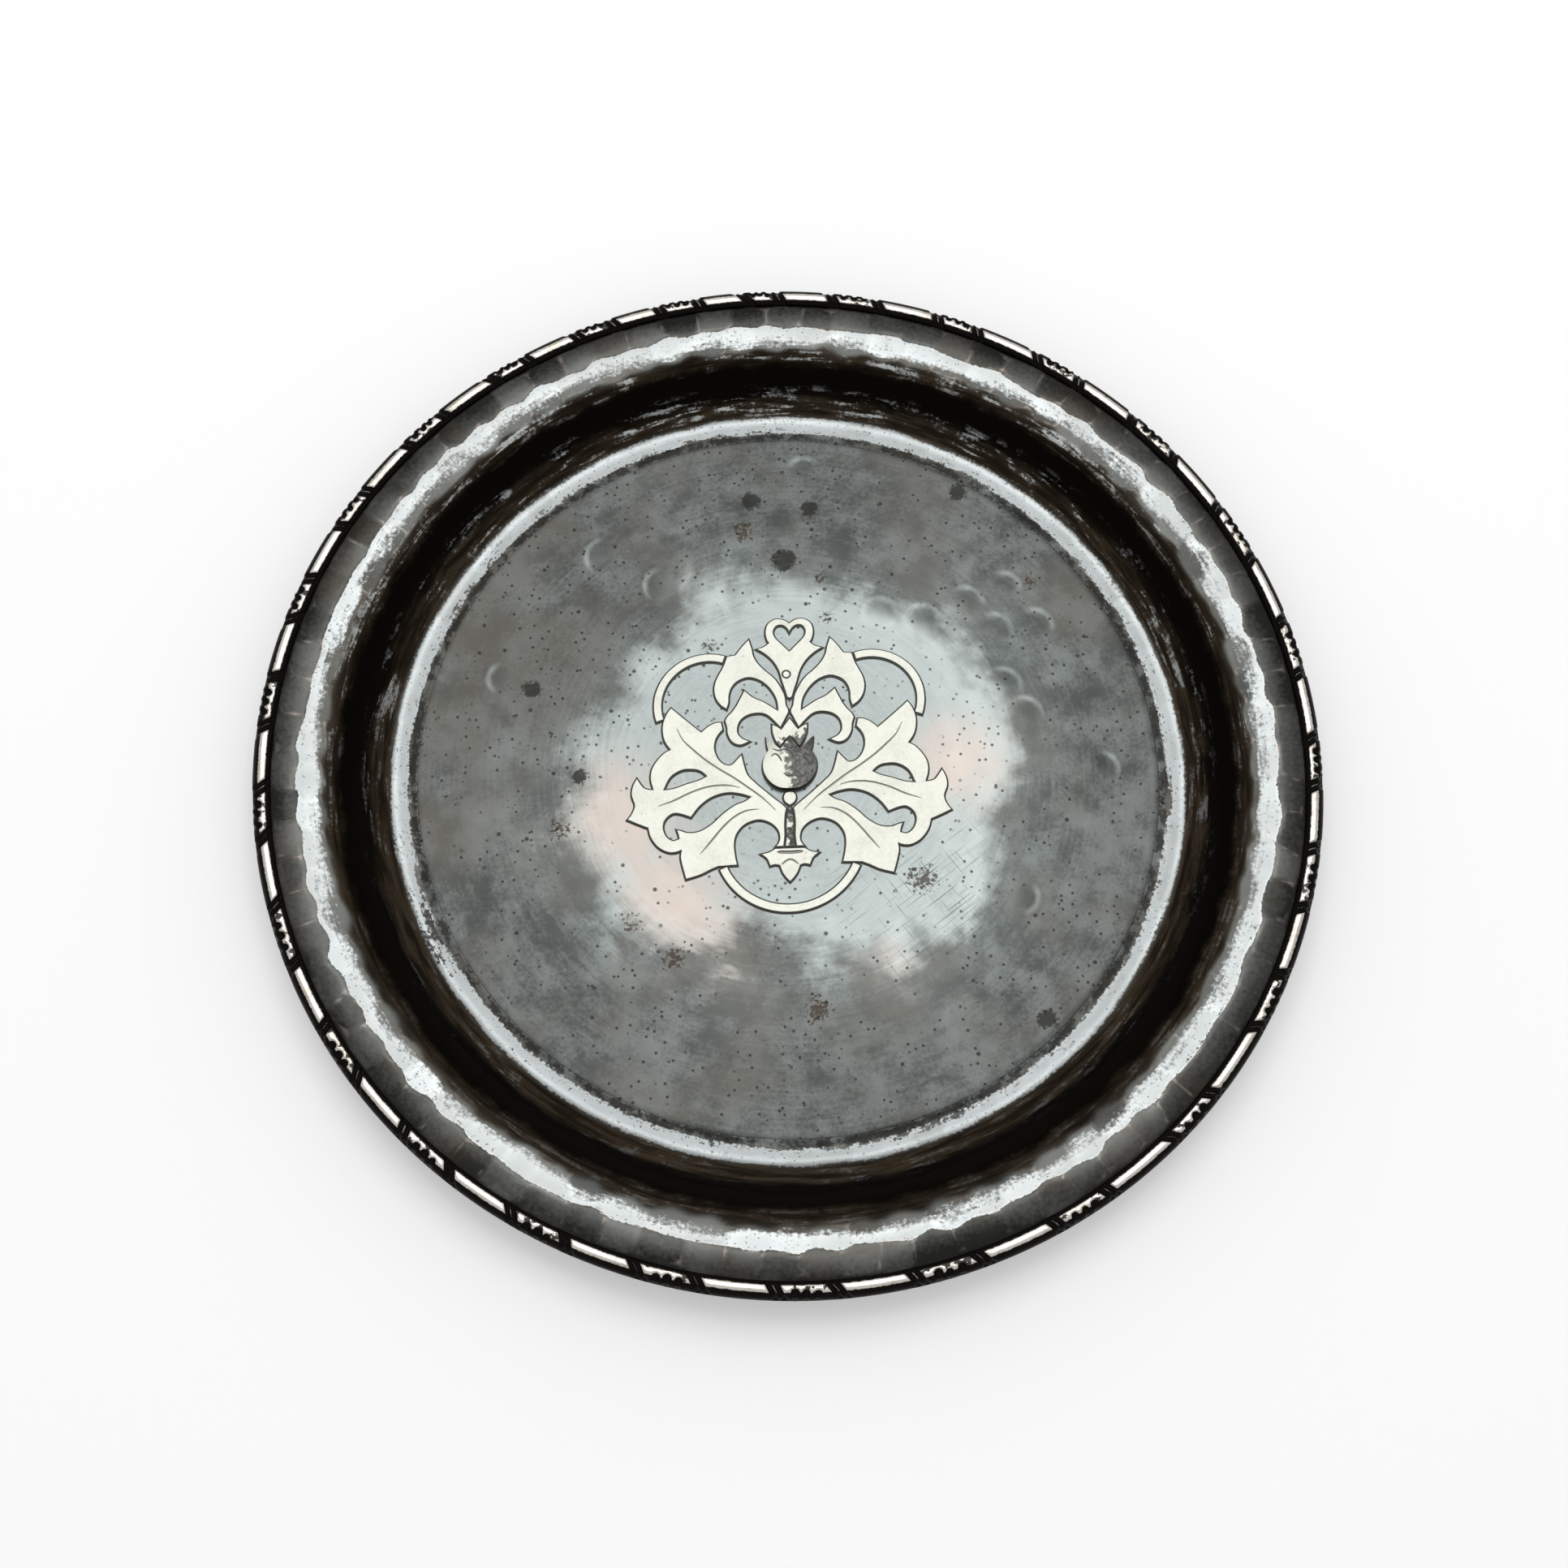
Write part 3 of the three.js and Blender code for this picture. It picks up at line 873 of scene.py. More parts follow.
@dataclass(frozen=True)
class OverlaySilver(Finish):
    """Satin silver sheet, dark along its cut edges and in its chased lines.

    A piece may get painted shade on one side, mottled. The direction across it is given by a weight across
    the thistle and one along it, and the painted shade grows over a range of distances in that direction.
    """

    name: str = "satin_overlay_silver"
    bright: Colour = (0.635, 0.642, 0.572)
    dull: Colour = (0.50, 0.50, 0.445)
    cut: Colour = (0.24, 0.238, 0.212)
    tarnish: Colour = (0.066, 0.065, 0.059)
    painted_shade: Colour = (0.080, 0.080, 0.075)
    painted_shade_light: Colour = (0.165, 0.165, 0.155)
    shade_across: float = 1.0
    shade_along: float = 0.0
    shade_range: Range = (1000.0, 1001.0)
    cut_depths: Range = (0.02, 0.06)
    foot_depths: Range = (0.40, 0.50)

    def make(self) -> bpy.types.Material:
        """Builds the silver from how far each place lies below the sheet's upper face.

        Returns:
            The material.
        """
        s = Shader(self.name)
        cloud = s.noise(8.0, detail=4.0, rough=0.6)
        grain = s.noise(0.7, detail=3.0, rough=0.6)
        sunk = s.attribute("sunk") + grain.around(0.03)
        silver = s.blend(s.step(cloud * 0.65 + grain * 0.35, 0.42, 0.68) * 0.6, self.bright, self.dull)
        silver = s.blend(s.specks(2.2, 0.10) * s.step(cloud, 0.48, 0.60) * 0.8, silver, self.tarnish)
        flake = s.noise(1.7, detail=2.0, rough=0.5)
        # Painted shade on one side of the piece, mottled.
        across = s.x * self.shade_across + s.y * self.shade_along + flake.around(9.0) + grain.around(2.0)
        mottle = s.step(s.noise(0.9, detail=3.0, rough=0.6), 0.40, 0.62)
        painted_shade = s.blend(mottle, self.painted_shade, self.painted_shade_light)
        silver = s.blend(s.step(across, *self.shade_range), silver, painted_shade)
        silver = s.blend(s.step(sunk, *self.cut_depths), silver, self.cut)
        return s.finish(
            Base_Color=s.blend(s.step(sunk, *self.foot_depths), silver, self.tarnish),
            Metallic=1.0,
            Roughness=0.40 + grain.around(0.14),
            Normal=s.bump(grain + cloud * 0.8, strength=0.18, distance=0.05),
        )


# Dish


@dataclass(frozen=True)
class Arc:
    """Part of a circle, with its angles in degrees."""

    centre: Point
    radius: float
    start: float
    end: float
    fewest_steps: int = 3

    def points(self, steps: int, outward: float = 0.0) -> list[Point]:
        """Gives points along the arc, both ends included.

        Args:
            steps: Number of steps from the first point to the last.
            outward: Distance of the points outside the arc.

        Returns:
            The points.
        """
        x, y = self.centre
        radius = self.radius + outward
        angles = np.radians(np.linspace(self.start, self.end, steps + 1))
        return [(x + radius * math.cos(a), y + radius * math.sin(a)) for a in angles]

    def spaced(self, pitch: float) -> list[Point]:
        """Gives points along the arc that are about a pitch apart."""
        length = math.radians(abs(self.end - self.start)) * self.radius
        return self.points(max(self.fewest_steps, round(length / pitch)))


@dataclass
class DishProfile:
    """Section of the raised sheet, with the wall's two bends.

    The crease's shape is given as shares of its width and depth.
    """

    sheet: float = 1.2
    floor_radius: float = 93.0
    cove_radius: float = 16.0
    shoulder_radius: float = 24.3
    wall_angle: float = 45.0
    flange_fall: float = 10.0
    crease_width: float = 1.2
    crease_depth: float = 0.05
    crease_shape: tuple[Point, ...] = ((0.25, 0.6), (0.5, 1.0), (0.75, 0.6))
    lip_width: float = 4.05
    lip_round: float = 0.35
    floor_points: int = 66
    cove_pitch: float = 0.8
    shoulder_pitch: float = 0.85
    under_points: int = 13
    under_pitch: float = 2.2

    @property
    def crest(self) -> Point:
        """Radius and height of the shoulder's highest ring.

        Returns:
            Radius and height.
        """
        wall = math.radians(self.wall_angle)
        bends = self.cove_radius + self.shoulder_radius
        return self.floor_radius + bends * math.sin(wall), self.sheet + bends * (1 - math.cos(wall))

    def cove(self, gauge: float = 0.0) -> Arc:
        """Gives the cove's bend from floor to wall, on the upper face or a gauge below it."""
        centre = (self.floor_radius, self.sheet + self.cove_radius)
        return Arc(centre, self.cove_radius + gauge, -90, self.wall_angle - 90)

    def shoulder(self, gauge: float = 0.0) -> Arc:
        """Gives the shoulder's bend from wall to flange, on the upper face or a gauge below it.

        Args:
            gauge: Distance below the upper face.

        Returns:
            The bend.
        """
        radius, top = self.crest
        centre = (radius, top - self.shoulder_radius)
        return Arc(centre, self.shoulder_radius - gauge, 90 + self.wall_angle, 90 - self.flange_fall)

    def lip_point(self, along: float, up: float) -> Point:
        """Gives a place beside the lip.

        Args:
            along: Distance outward from the flange's inner edge.
            up: Distance off the copper.

        Returns:
            Its radius and height.
        """
        fall = math.radians(self.flange_fall)
        radius, top = self.crest
        reach = self.shoulder_radius + up
        x = radius + reach * math.sin(fall) + along * math.cos(fall)
        z = top - self.shoulder_radius + reach * math.cos(fall) - along * math.sin(fall)
        return x, z

    def upper_face(self) -> np.ndarray:
        """Gives the section's upper side, from the axis to the lip.

        Returns:
            Radius and height of its points.
        """
        inner = self.floor_radius - self.crease_width
        points = [(r, self.sheet) for r in np.linspace(0, inner, self.floor_points)]
        for share, depth in self.crease_shape:
            points.append((inner + share * self.crease_width, self.sheet - depth * self.crease_depth))
        points += self.cove().spaced(self.cove_pitch)
        points += self.shoulder().spaced(self.shoulder_pitch)[1:]
        points += [self.lip_point(share * self.lip_width, 0) for share in (0.3, 0.6)]
        points.append(self.lip_point(self.lip_width - self.lip_round, 0))
        return np.array(points)

    def lower_face(self) -> np.ndarray:
        """Gives the section's lower side, from the lip to the axis.

        Returns:
            Radius and height of its points.
        """
        points = [self.lip_point(self.lip_width, -share * self.sheet) for share in (0.3, 0.7)]
        points.append(self.lip_point(self.lip_width - self.lip_round, -self.sheet))
        points.append(self.lip_point(0.5 * self.lip_width, -self.sheet))
        points += self.shoulder(self.sheet).spaced(self.under_pitch)[::-1]
        points += self.cove(self.sheet).spaced(self.under_pitch)[-2::-1]
        points += [(r, 0.0) for r in np.linspace(self.floor_radius, 0, self.under_points)[1:]]
        return np.array(points)


@dataclass(frozen=True)
class BlowRow:
    """A ring of hammer blows, each of which leaves one flattened facet.

    Stagger, force and overlap are shares of the pitch, the depth and the pitch.
    """

    radius: float
    depth: float
    reach: float
    pitch: float
    wander: float = 0.8
    stagger: float = 0.2
    force: Range = (0.72, 1.2)
    overlap: float = 0.74
    fewest: int = 5

    def strike(
        self,
        draw: np.random.Generator,
        points: np.ndarray,
        depth: np.ndarray,
        tone: np.ndarray,
        second: np.ndarray,
    ) -> None:
        """Sinks the facets into a face, where they go deeper than those already there.

        Args:
            draw: Source of the hand's unevenness.
            points: Places on the face.
            depth: Depth at each place, changed in place.
            tone: Chance tone of the blow that left each place, changed in place.
            second: Depth of the next deepest blow at each place, changed in place.
        """
        count = max(self.fewest, round(TURN * self.radius / self.pitch))
        start = draw.uniform(0, TURN)
        radius = np.hypot(points[:, 0], points[:, 1])
        angle = np.arctan2(points[:, 1], points[:, 0])
        for i in range(count):
            at = start + (i + draw.uniform(-self.stagger, self.stagger)) * TURN / count
            middle = self.radius + draw.uniform(-self.wander, self.wander)
            deep = self.depth * draw.uniform(*self.force)
            shade = draw.uniform(0, 1)
            across = (radius - middle) / self.reach
            along = ((angle - at + math.pi) % TURN - math.pi) * self.radius / (self.overlap * self.pitch)
            left = deep * (1 - across**2 - along**2)
            np.maximum(second, np.minimum(left, depth), out=second)
            deeper = left > depth
            depth[deeper] = left[deeper]
            tone[deeper] = shade


@dataclass
class HammeredDish:
    """The copper dish, raised from one sheet and planished all over.

    A tilted blow's edge is given as shares of its reach.
    """

    profile: DishProfile = field(default_factory=DishProfile)
    segments: int = 640
    seed: int = 27
    side_rows: tuple[BlowRow, ...] = (
        BlowRow(121.9, 0.24, 4.4, 9.2), BlowRow(116.0, 0.32, 4.6, 9.2), BlowRow(111.3, 0.22, 3.9, 8.6),
        BlowRow(107.5, 0.14, 3.6, 8.6), BlowRow(103.3, 0.12, 3.6, 8.0), BlowRow(98.8, 0.14, 3.8, 7.6),
    )
    row_pitch: float = 7.4
    blow_pitch: float = 8.6
    floor_depth: float = 0.05
    floor_reach: float = 6.4
    floor_margin: float = 5.0
    under_depth: float = 0.12
    under_margin: float = -3.0
    innermost: float = 3.0
    unstruck_lip: Range = (125.0, 126.5)
    sway: float = 0.16
    sway_waves: int = 7
    sway_lengths: Range = (38.0, 75.0)
    sway_edge: Range = (80.0, 91.0)
    tilted_depth: float = 0.30
    tilted_edge: Range = (0.80, 1.05)
    tilted_curve: float = 1.5

    def build(self) -> bpy.types.Object:
        """Spins the sheet, hammers it, and keeps what its finish needs.

        Returns:
            The dish.
        """
        upper = self.profile.upper_face()
        lower = self.profile.lower_face()
        obj = spun("dish_body_planished", np.vstack([upper, lower]), self.segments)
        draw = np.random.default_rng(self.seed)
        points = points_of(obj)
        radius = np.hypot(points[:, 0], points[:, 1])
        top = np.interp(radius, upper[:, 0], upper[:, 1])
        on_top = points[:, 2] > top - 0.5 * self.profile.sheet
        floor_rows = self.rings(self.profile.floor_radius - self.floor_margin, self.floor_depth)
        under_rows = self.rings(self.profile.crest[0] - self.under_margin, self.under_depth)
        depth = np.zeros(len(points))
        tone = np.full(len(points), 0.5)
        proud = np.ones(len(points))
        for side, rows in ((on_top, self.side_rows + floor_rows), (~on_top, under_rows)):
            sunk, shade = depth[side], tone[side]
            second = np.zeros(len(sunk))
            for row in rows:
                row.strike(draw, points[side], sunk, shade, second)
            depth[side], tone[side], proud[side] = sunk, shade, sunk - second
        depth += np.where(on_top, self.floor_unevenness(draw, points, radius), 0)
        depth *= 1 - smoothstep(*self.unstruck_lip, radius)
        sink(obj, depth)
        record_attribute(obj, "upper", on_top)
        record_attribute(obj, "tone", tone)
        record_attribute(obj, "proud", proud)
        record_attribute(obj, "slope", self.slope(obj))
        return obj

    def rings(self, outermost: float, depth: float) -> tuple[BlowRow, ...]:
        """Sets out light planishing ring by ring, from an outermost radius towards the axis."""
        radii = np.arange(outermost, self.innermost, -self.row_pitch)
        return tuple(BlowRow(radius, depth, self.floor_reach, self.blow_pitch) for radius in radii)

    def floor_unevenness(
        self, draw: np.random.Generator, points: np.ndarray, radius: np.ndarray
    ) -> np.ndarray:
        """Gives the floor's slow sway and its crescent marks from tilted blows.

        Args:
            draw: Source of the hand's unevenness.
            points: Places on the dish.
            radius: Their distances from the axis.

        Returns:
            Depth at each place.
        """
        sway = np.zeros(len(points))
        for _ in range(self.sway_waves):
            angle = draw.uniform(0, TURN)
            wave = TURN / draw.uniform(*self.sway_lengths)
            phase = draw.uniform(0, TURN)
            across = points[:, 0] * math.cos(angle) + points[:, 1] * math.sin(angle)
            sway += np.sin(across * wave + phase) / self.sway_waves
        depth = self.sway * (0.5 + 0.5 * sway) * (1 - smoothstep(*self.sway_edge, radius))
        for blow in TILTED_BLOWS:
            lean = math.radians(blow.lean)
            across = (points[:, 0] - blow.x) / blow.reach
            along = (points[:, 1] - blow.y) / blow.reach
            inside = 1 - smoothstep(*self.tilted_edge, np.hypot(across, along))
            tilt = 0.5 + 0.5 * (across * math.cos(lean) + along * math.sin(lean))
            depth += self.tilted_depth * inside * np.clip(tilt, 0, 1) ** self.tilted_curve
        return depth

    def slope(self, obj: bpy.types.Object) -> np.ndarray:
        """Finds how many degrees each place of the hammered sheet leans towards the dish's axis.

        Args:
            obj: The dish.

        Returns:
            The lean at each point.
        """
        normals = normals_of(obj)
        points = points_of(obj)
        radius = np.maximum(np.hypot(points[:, 0], points[:, 1]), 1.0)
        inward = -(normals[:, 0] * points[:, 0] + normals[:, 1] * points[:, 1]) / radius
        return np.degrees(np.arctan2(inward, np.maximum(normals[:, 2], 0.01)))

    def dress(self, obj: bpy.types.Object) -> None:
        """Gives the dish its patina."""
        hand_in(obj, PlanishedCopper(), Slot.COPPER, "dish_body")


# Border


@dataclass
class ChasedBorder:
    """Half-round silver border: plain bars between double strokes, and punched panels.

    A chance is the range of a factor that the hand's unevenness puts on a length, and an edge is a range of
    shares of a pit's radius.
    """

    profile: DishProfile = field(default_factory=DishProfile)
    width: float = 4.4
    height: float = 1.9
    solder: float = 0.1
    steps: int = 2700
    section_steps: int = 18
    bar_share: float = 0.50
    bar_chance: Range = (0.92, 1.08)
    panel_reach: float = 0.75
    stroke_width: float = 1.4
    stroke_depth: float = 0.75
    stroke_flat: float = 0.35
    stroke_gap: float = 1.8
    gap_chance: Range = (0.9, 1.1)
    sliver_share: float = 0.21
    slant: float = 32.0
    slant_chance: Range = (0.7, 1.25)
    pit_radius: float = 1.02
    pit_chance: Range = (0.85, 1.2)
    pit_depth: float = 0.75
    pit_edge: Range = (0.6, 1.1)
    pit_pitch: float = 2.6
    pit_spread: float = 0.19
    pit_along: float = 2.6
    pit_wander: float = 0.25
    slot_edge: Range = (0.3, 0.75)
    slot_run: float = 0.6
    slot_share: float = 0.45
    bare_foot: float = 0.02
    full_depth_at: float = 0.5
    crown_band_middle: float = 1.65
    crown_above: float = 0.3
    seed: int = 5
    bar_angles: tuple[float, ...] = (
        338.8, 323.8, 308.6, 293.3, 278.5, 264.2, 250.3, 236.6, 222.3, 208.9, 193.9, 181.1, 168.0, 155.9,
        143.5, 130.6, 118.9, 108.3, 98.1, 88.7, 76.0, 63.7, 49.9, 35.9, 20.3, 5.7, -7.1,
    )

    def section(self) -> np.ndarray:
        """Gives the half-round section, with its flat foot.

        Returns:
            Radius and height of its points.
        """
        half = self.width / 2
        points = []
        for angle in np.linspace(math.pi, 0, self.section_steps + 1):
            up = self.solder + self.height * math.sin(angle)
            points.append(self.profile.lip_point(half + half * math.cos(angle), up))
        points += [self.profile.lip_point(share * self.width, self.solder) for share in (0.66, 0.33)]
        return np.array(points)

    def build(self) -> bpy.types.Object:
        """Spins the wire and strikes its pattern.

        Returns:
            The border.
        """
        obj = spun("rim_border_chased", self.section(), self.steps)
        points = points_of(obj)
        radius = np.hypot(points[:, 0], points[:, 1])
        angle = np.degrees(np.arctan2(points[:, 1], points[:, 0]))
        fall = math.radians(self.profile.flange_fall)
        start = self.profile.lip_point(0, self.solder)
        along = (radius - start[0]) * math.cos(fall) - (points[:, 2] - start[1]) * math.sin(fall)
        up = (radius - start[0]) * math.sin(fall) + (points[:, 2] - start[1]) * math.cos(fall)
        struck, panel = self.strike(angle, along)
        struck *= up > self.bare_foot
        sink(obj, struck * smoothstep(0.0, self.full_depth_at, up))
        # The crown's band stays bright; the finish gives the rest painted shade, partly tarnish.
        crown = up > self.crown_above * self.height
        record_attribute(obj, "struck", struck / self.stroke_depth)
        record_attribute(obj, "panel", panel)
        record_attribute(obj, "beside", np.where(crown, np.abs(along - self.crown_band_middle), self.width))
        return obj

    def strike(self, angle: np.ndarray, along: np.ndarray) -> tuple[np.ndarray, np.ndarray]:
        """Gives the depth of the pattern at each place on the wire, and where its panels are.

        Args:
            angle: Angle round the dish in degrees.
            along: Distance across the wire from its inner edge.

        Returns:
            Depth in millimetres, and 1 on a panel.
        """
        draw = np.random.default_rng(self.seed)
        degree = TURN * self.profile.lip_point(self.width / 2, 0)[0] / 360
        depth = np.zeros(len(angle))
        panel = np.zeros(len(angle))
        bars = list(self.bar_angles)
        for here, after in zip(bars, bars[1:] + [bars[0] - 360]):
            gap = (here - after) * degree
            length = gap - gap * self.bar_share * draw.uniform(*self.bar_chance)
            place = ((angle - (here + after) / 2 + 180) % 360 - 180) * degree
            near = np.abs(place) < self.panel_reach * gap
            depth[near] = np.maximum(depth[near], self.panel(draw, place[near], along[near], length))
            panel[np.abs(place) < length / 2] = 1
        return depth, panel

    def panel(
        self, draw: np.random.Generator, place: np.ndarray, along: np.ndarray, length: float
    ) -> np.ndarray:
        """Strikes one panel: two double strokes and three punched pits between them.

        Args:
            draw: Source of the hand's unevenness.
            place: Distance along the wire from the panel's middle.
            along: Distance across the wire.
            length: Length of the panel with its strokes.

        Returns:
            Depth in millimetres.
        """
        depth = np.zeros(len(place))
        for end in (-1, 1):
            slant = math.tan(math.radians(self.slant * draw.uniform(*self.slant_chance)))
            run = place - end * length / 2 - slant * (along - self.width / 2)
            for inset in (0.0, self.stroke_gap * draw.uniform(*self.gap_chance)):
                away = np.abs(run + end * inset) / (self.stroke_width / 2)
                depth = np.maximum(depth, self.stroke_depth * np.clip(1 + self.stroke_flat - away, 0, 1))
            between = np.abs(run + end * self.stroke_gap / 2) < self.stroke_gap / 2
            depth = np.maximum(depth, np.where(between, self.sliver_share * self.stroke_depth, 0))
        for k in (-1, 0, 1):
            shift = draw.uniform(-self.pit_wander, self.pit_wander)
            aside = np.abs(place - k * min(self.pit_pitch, length * self.pit_spread) - shift)
            outward = along - self.pit_along - draw.uniform(-self.pit_wander, self.pit_wander)
            wide = self.pit_radius * draw.uniform(*self.pit_chance)
            hole = 1 - smoothstep(*self.pit_edge, np.hypot(aside, outward) / wide)
            slot = (1 - smoothstep(*self.slot_edge, aside / wide)) * smoothstep(0, self.slot_run, outward)
            depth = np.maximum(depth, self.pit_depth * np.maximum(hole, self.slot_share * slot))
        return depth

    def dress(self, obj: bpy.types.Object) -> None:
        """Gives the border its silver."""
        hand_in(obj, BorderSilver(), Slot.BORDER, "rim_border")


# Thistle overlay


@dataclass(frozen=True)
class ThistleDrawing:
    """Outlines of the overlay, with its axis at x = 0 and the right half at x > 0.

    Each row starts at a sharp corner and curves through its other points to the next row's corner.
    Outlines run clockwise and openings counterclockwise.
    """

    lean: float = 0.04
    outline_pitch: float = 0.45
    tendril_width: float = 2.0
    tendril_steps: int = 71
    side_tendril: Arc = Arc((20.5, 17.9), 12.6, 108.0, -19.0)
    base_tendril: Arc = Arc((0.0, -18.2), 17.8, -23.5, -156.5)
    fleuron_half: Rows = (
        ((0, 39.4), (1.5, 40.4), (3.6, 40.6), (5.5, 39.3), (6.1, 37), (5.7, 34.9)),
        ((5.2, 34.1), (6.6, 33)),
        ((8.4, 32.5), (6.6, 31.4), (4.9, 29.9), (3.6, 28.2), (2.7, 26.4), (2.2, 24.7), (1.8, 23.2),
         (1.2, 21.3)),
        ((0.6, 19.2),),
        ((0, 18.8),),
    )
    heart_half: Rows = (
        ((0, 31.6), (1.8, 33.5), (3.6, 35.5), (4.1, 37.2), (3.3, 38.7), (1.8, 38.9), (0.6, 38)),
        ((0, 36.8),),
    )
    crown_leaf: Rows = (
        ((2.3, 11), (1.3, 13)),
        ((0.3, 15),),
        ((0.3, 15.9), (0.8, 16.8), (1, 18.2), (1.3, 19.8), (2.1, 21.6), (3.1, 23.4), (4.4, 25),
         (6.2, 26.6), (8, 28.6), (9.1, 30.7), (9.5, 32.6)),
        ((10.3, 35.2), (11.7, 33.7), (12.9, 32.1)),
        ((13.7, 31),),
        ((15.8, 30.7),),
        ((16.4, 28.8), (17, 27.4), (17.9, 25.7), (18.7, 23.8), (19, 21.6), (18.5, 19.3), (17.3, 17.5)),
        ((15.8, 16.4), (15.3, 18.1), (15.2, 20.2), (14.5, 22.3), (13, 23.9), (10.4, 24.8), (7.6, 24),
         (5.4, 22.2), (3.9, 20), (3.15, 18)),
        ((2.9, 15.6), (4.5, 16.7), (6.8, 18.2), (9.2, 19.4)),
        ((11.4, 21.3), (12.4, 19.2), (13.4, 17.2), (14.5, 15.6), (15.6, 14.4)),
        ((16.2, 13.2), (15.7, 11.6), (15.5, 9.6), (14.3, 7.5), (12.3, 6.7)),
        ((10, 7.6), (11.9, 8.5), (13, 10), (12.9, 12), (12, 13.6), (10.3, 14.7), (8, 15.1), (6, 14.7),
         (4.4, 13.4)),
    )
    thistle_leaf: Rows = (
        ((1.6, -20.2), (1.3, -17.5), (1.35, -14.5), (1.2, -12)),
        ((0.85, -10.3), (2.2, -9), (4, -7.5), (6, -5.7), (8.4, -3.5), (10.6, -0.9)),
        ((12, 4.2), (13.2, 2.8), (14.6, 1.5), (16.2, 1.7), (17.8, 3.2), (18.7, 5.6), (18.6, 7.9),
         (17.8, 9.6)),
        ((16.7, 10.9),),
        ((17.1, 12.9), (18.6, 12.8), (20.4, 11.9)),
        ((22.1, 10.4), (24.5, 12.5), (27, 14.7)),
        ((29.7, 17.2), (30.8, 15.6), (31.7, 13), (31.7, 10.2), (31, 7.9)),
        ((29.7, 6), (31.3, 5.1), (33.1, 3.1), (34.3, 0.8), (34.5, -1.8)),
        ((33.8, -4.4), (36, -3.9)),
        ((37.9, -1.3), (38.9, -3.4), (39.1, -5.8), (38.3, -8.3), (38.9, -10.4)),
        ((40, -12), (37.5, -13.2)),
        ((34.9, -14.3), (34.2, -16.8), (32.4, -19.3), (30, -20.7), (28, -20.8)),
        ((26.6, -20.3), (26.8, -22.2), (26.2, -25)),
        ((25.4, -27.8), (22, -26.8), (19.5, -25.6)),
        ((17.6, -24.8),),
        ((12.9, -24.6), (13.4, -22.3), (13.7, -19.3), (13.2, -16.8), (11.6, -14.6), (9.3, -13.4), (7, -13.2),
         (4.6, -14.2), (3, -15.9), (2.5, -17.8), (2.8, -19.2)),
        ((3.6, -20.2),),
    )
    upper_opening: Rows = (
        ((20.6, -1.3), (22.6, -2.3), (25.6, -3.2), (28.5, -4.2)),
        ((31.2, -4.6), (29.6, -1.3), (26.8, 0.5), (23.8, 0.6), (22, 0)),
    )
    lower_opening: Rows = (
        ((9.6, -7.1), (11.2, -8.2), (13.7, -9.2), (16.7, -11.4), (19.2, -13.8), (22.2, -15.6), (25, -15.9),
         (26.5, -15.4)),
        ((27.9, -15), (27.4, -16.4)),
        ((27.2, -17.4), (28.8, -17.8), (30.4, -16.6), (31.2, -14.3), (30.6, -12.2), (28.8, -10.8),
         (26.8, -11)),
        ((24.4, -11.9), (22.2, -9), (19.2, -6.8), (15.5, -5.8), (12.2, -6.2)),
    )
    leaf_veins: Rows = (
        ((28.2, 11.6), (26.6, 8.4), (24, 5.7), (21, 3), (17.5, 0.4), (14, -1.9), (10.8, -4.3), (7, -7.3),
         (3.4, -10.9)),
        ((32.5, -8.8), (28.7, -7.5), (24.5, -5.5), (20, -4.1), (15.6, -3.9), (12.4, -4.6)),
        ((22, -21.5), (19.6, -18.6), (16.5, -14.8), (13.7, -12.2), (10.7, -10.7), (7.6, -10.4)),
    )
    tuft_half: Rows = (
        ((0, 13.5),),
        ((2.1, 10.5), (3.1, 11.3)),
        ((4.4, 11.9), (4.3, 9.8), (3.5, 7.4)),
        ((2.4, 5.7), (1.4, 7.2)),
        ((0, 8.8),),
    )
    bud_half: Rows = (
        ((0, 8), (1.1, 6.6)),
        ((2.4, 4.7), (3.9, 6.2)),
        ((5.9, 8.3), (5.7, 6.2)),
        ((5.3, 4.6), (6.2, 3.2), (6.7, 1.2), (6.5, -0.8), (5.6, -2.8), (4, -4.5), (2.1, -5.4)),
        ((0, -5.6),),
    )
    bud_scales: Rows = (
        ((-4.7, 2.8), (-3.7, 3.5), (-2.7, 2.7), (-2.0, 1.3)),
        ((-4.4, 4.9), (-2.8, 4.3), (-1.3, 4.6), (0.2, 3.7), (1, 2)),
        ((0.8, 3.9), (2.0, 5.3), (3.9, 6.6)),
        ((-1.6, -1.6), (-0.4, -2.6), (1.2, -2.4), (2.6, -3.2)),
        ((3.2, 2.4), (4.2, 1.2), (4.4, -0.6)),
    )
    bead_half: Rows = (
        ((0, -6), (1.1, -6.3), (1.6, -7.5), (1.1, -8.8)),
        ((0, -9.6),),
    )
    stem_half: Rows = (
        ((0, -10),),
        ((0.35, -10.2), (0.75, -12), (0.9, -14.5), (0.85, -17.5)),
        ((1.15, -20.2),),
        ((0, -20.2),),
    )
    finial_half: Rows = (
        ((0, -20.7),),
        ((3.6, -20.7), (5.2, -21.6)),
        ((7.2, -22), (5.7, -23.2)),
        ((4.9, -25.1), (3.6, -24.8)),
        ((2.5, -25.1), (1.9, -26.8), (1, -28.2)),
        ((0, -29.3),),
    )
    stalk_ring: tuple[Point, float] = ((-0.8, 25.3), 1.0)
    finial_bar: Rows = (
        ((-3.2, -21.6), (0, -21.8), (3.2, -21.6)),
    )
    finial_lines: Rows = (
        ((-2.1, -24.9), (-1, -24), (0, -23.6), (1, -24), (2.1, -24.9)),
    )

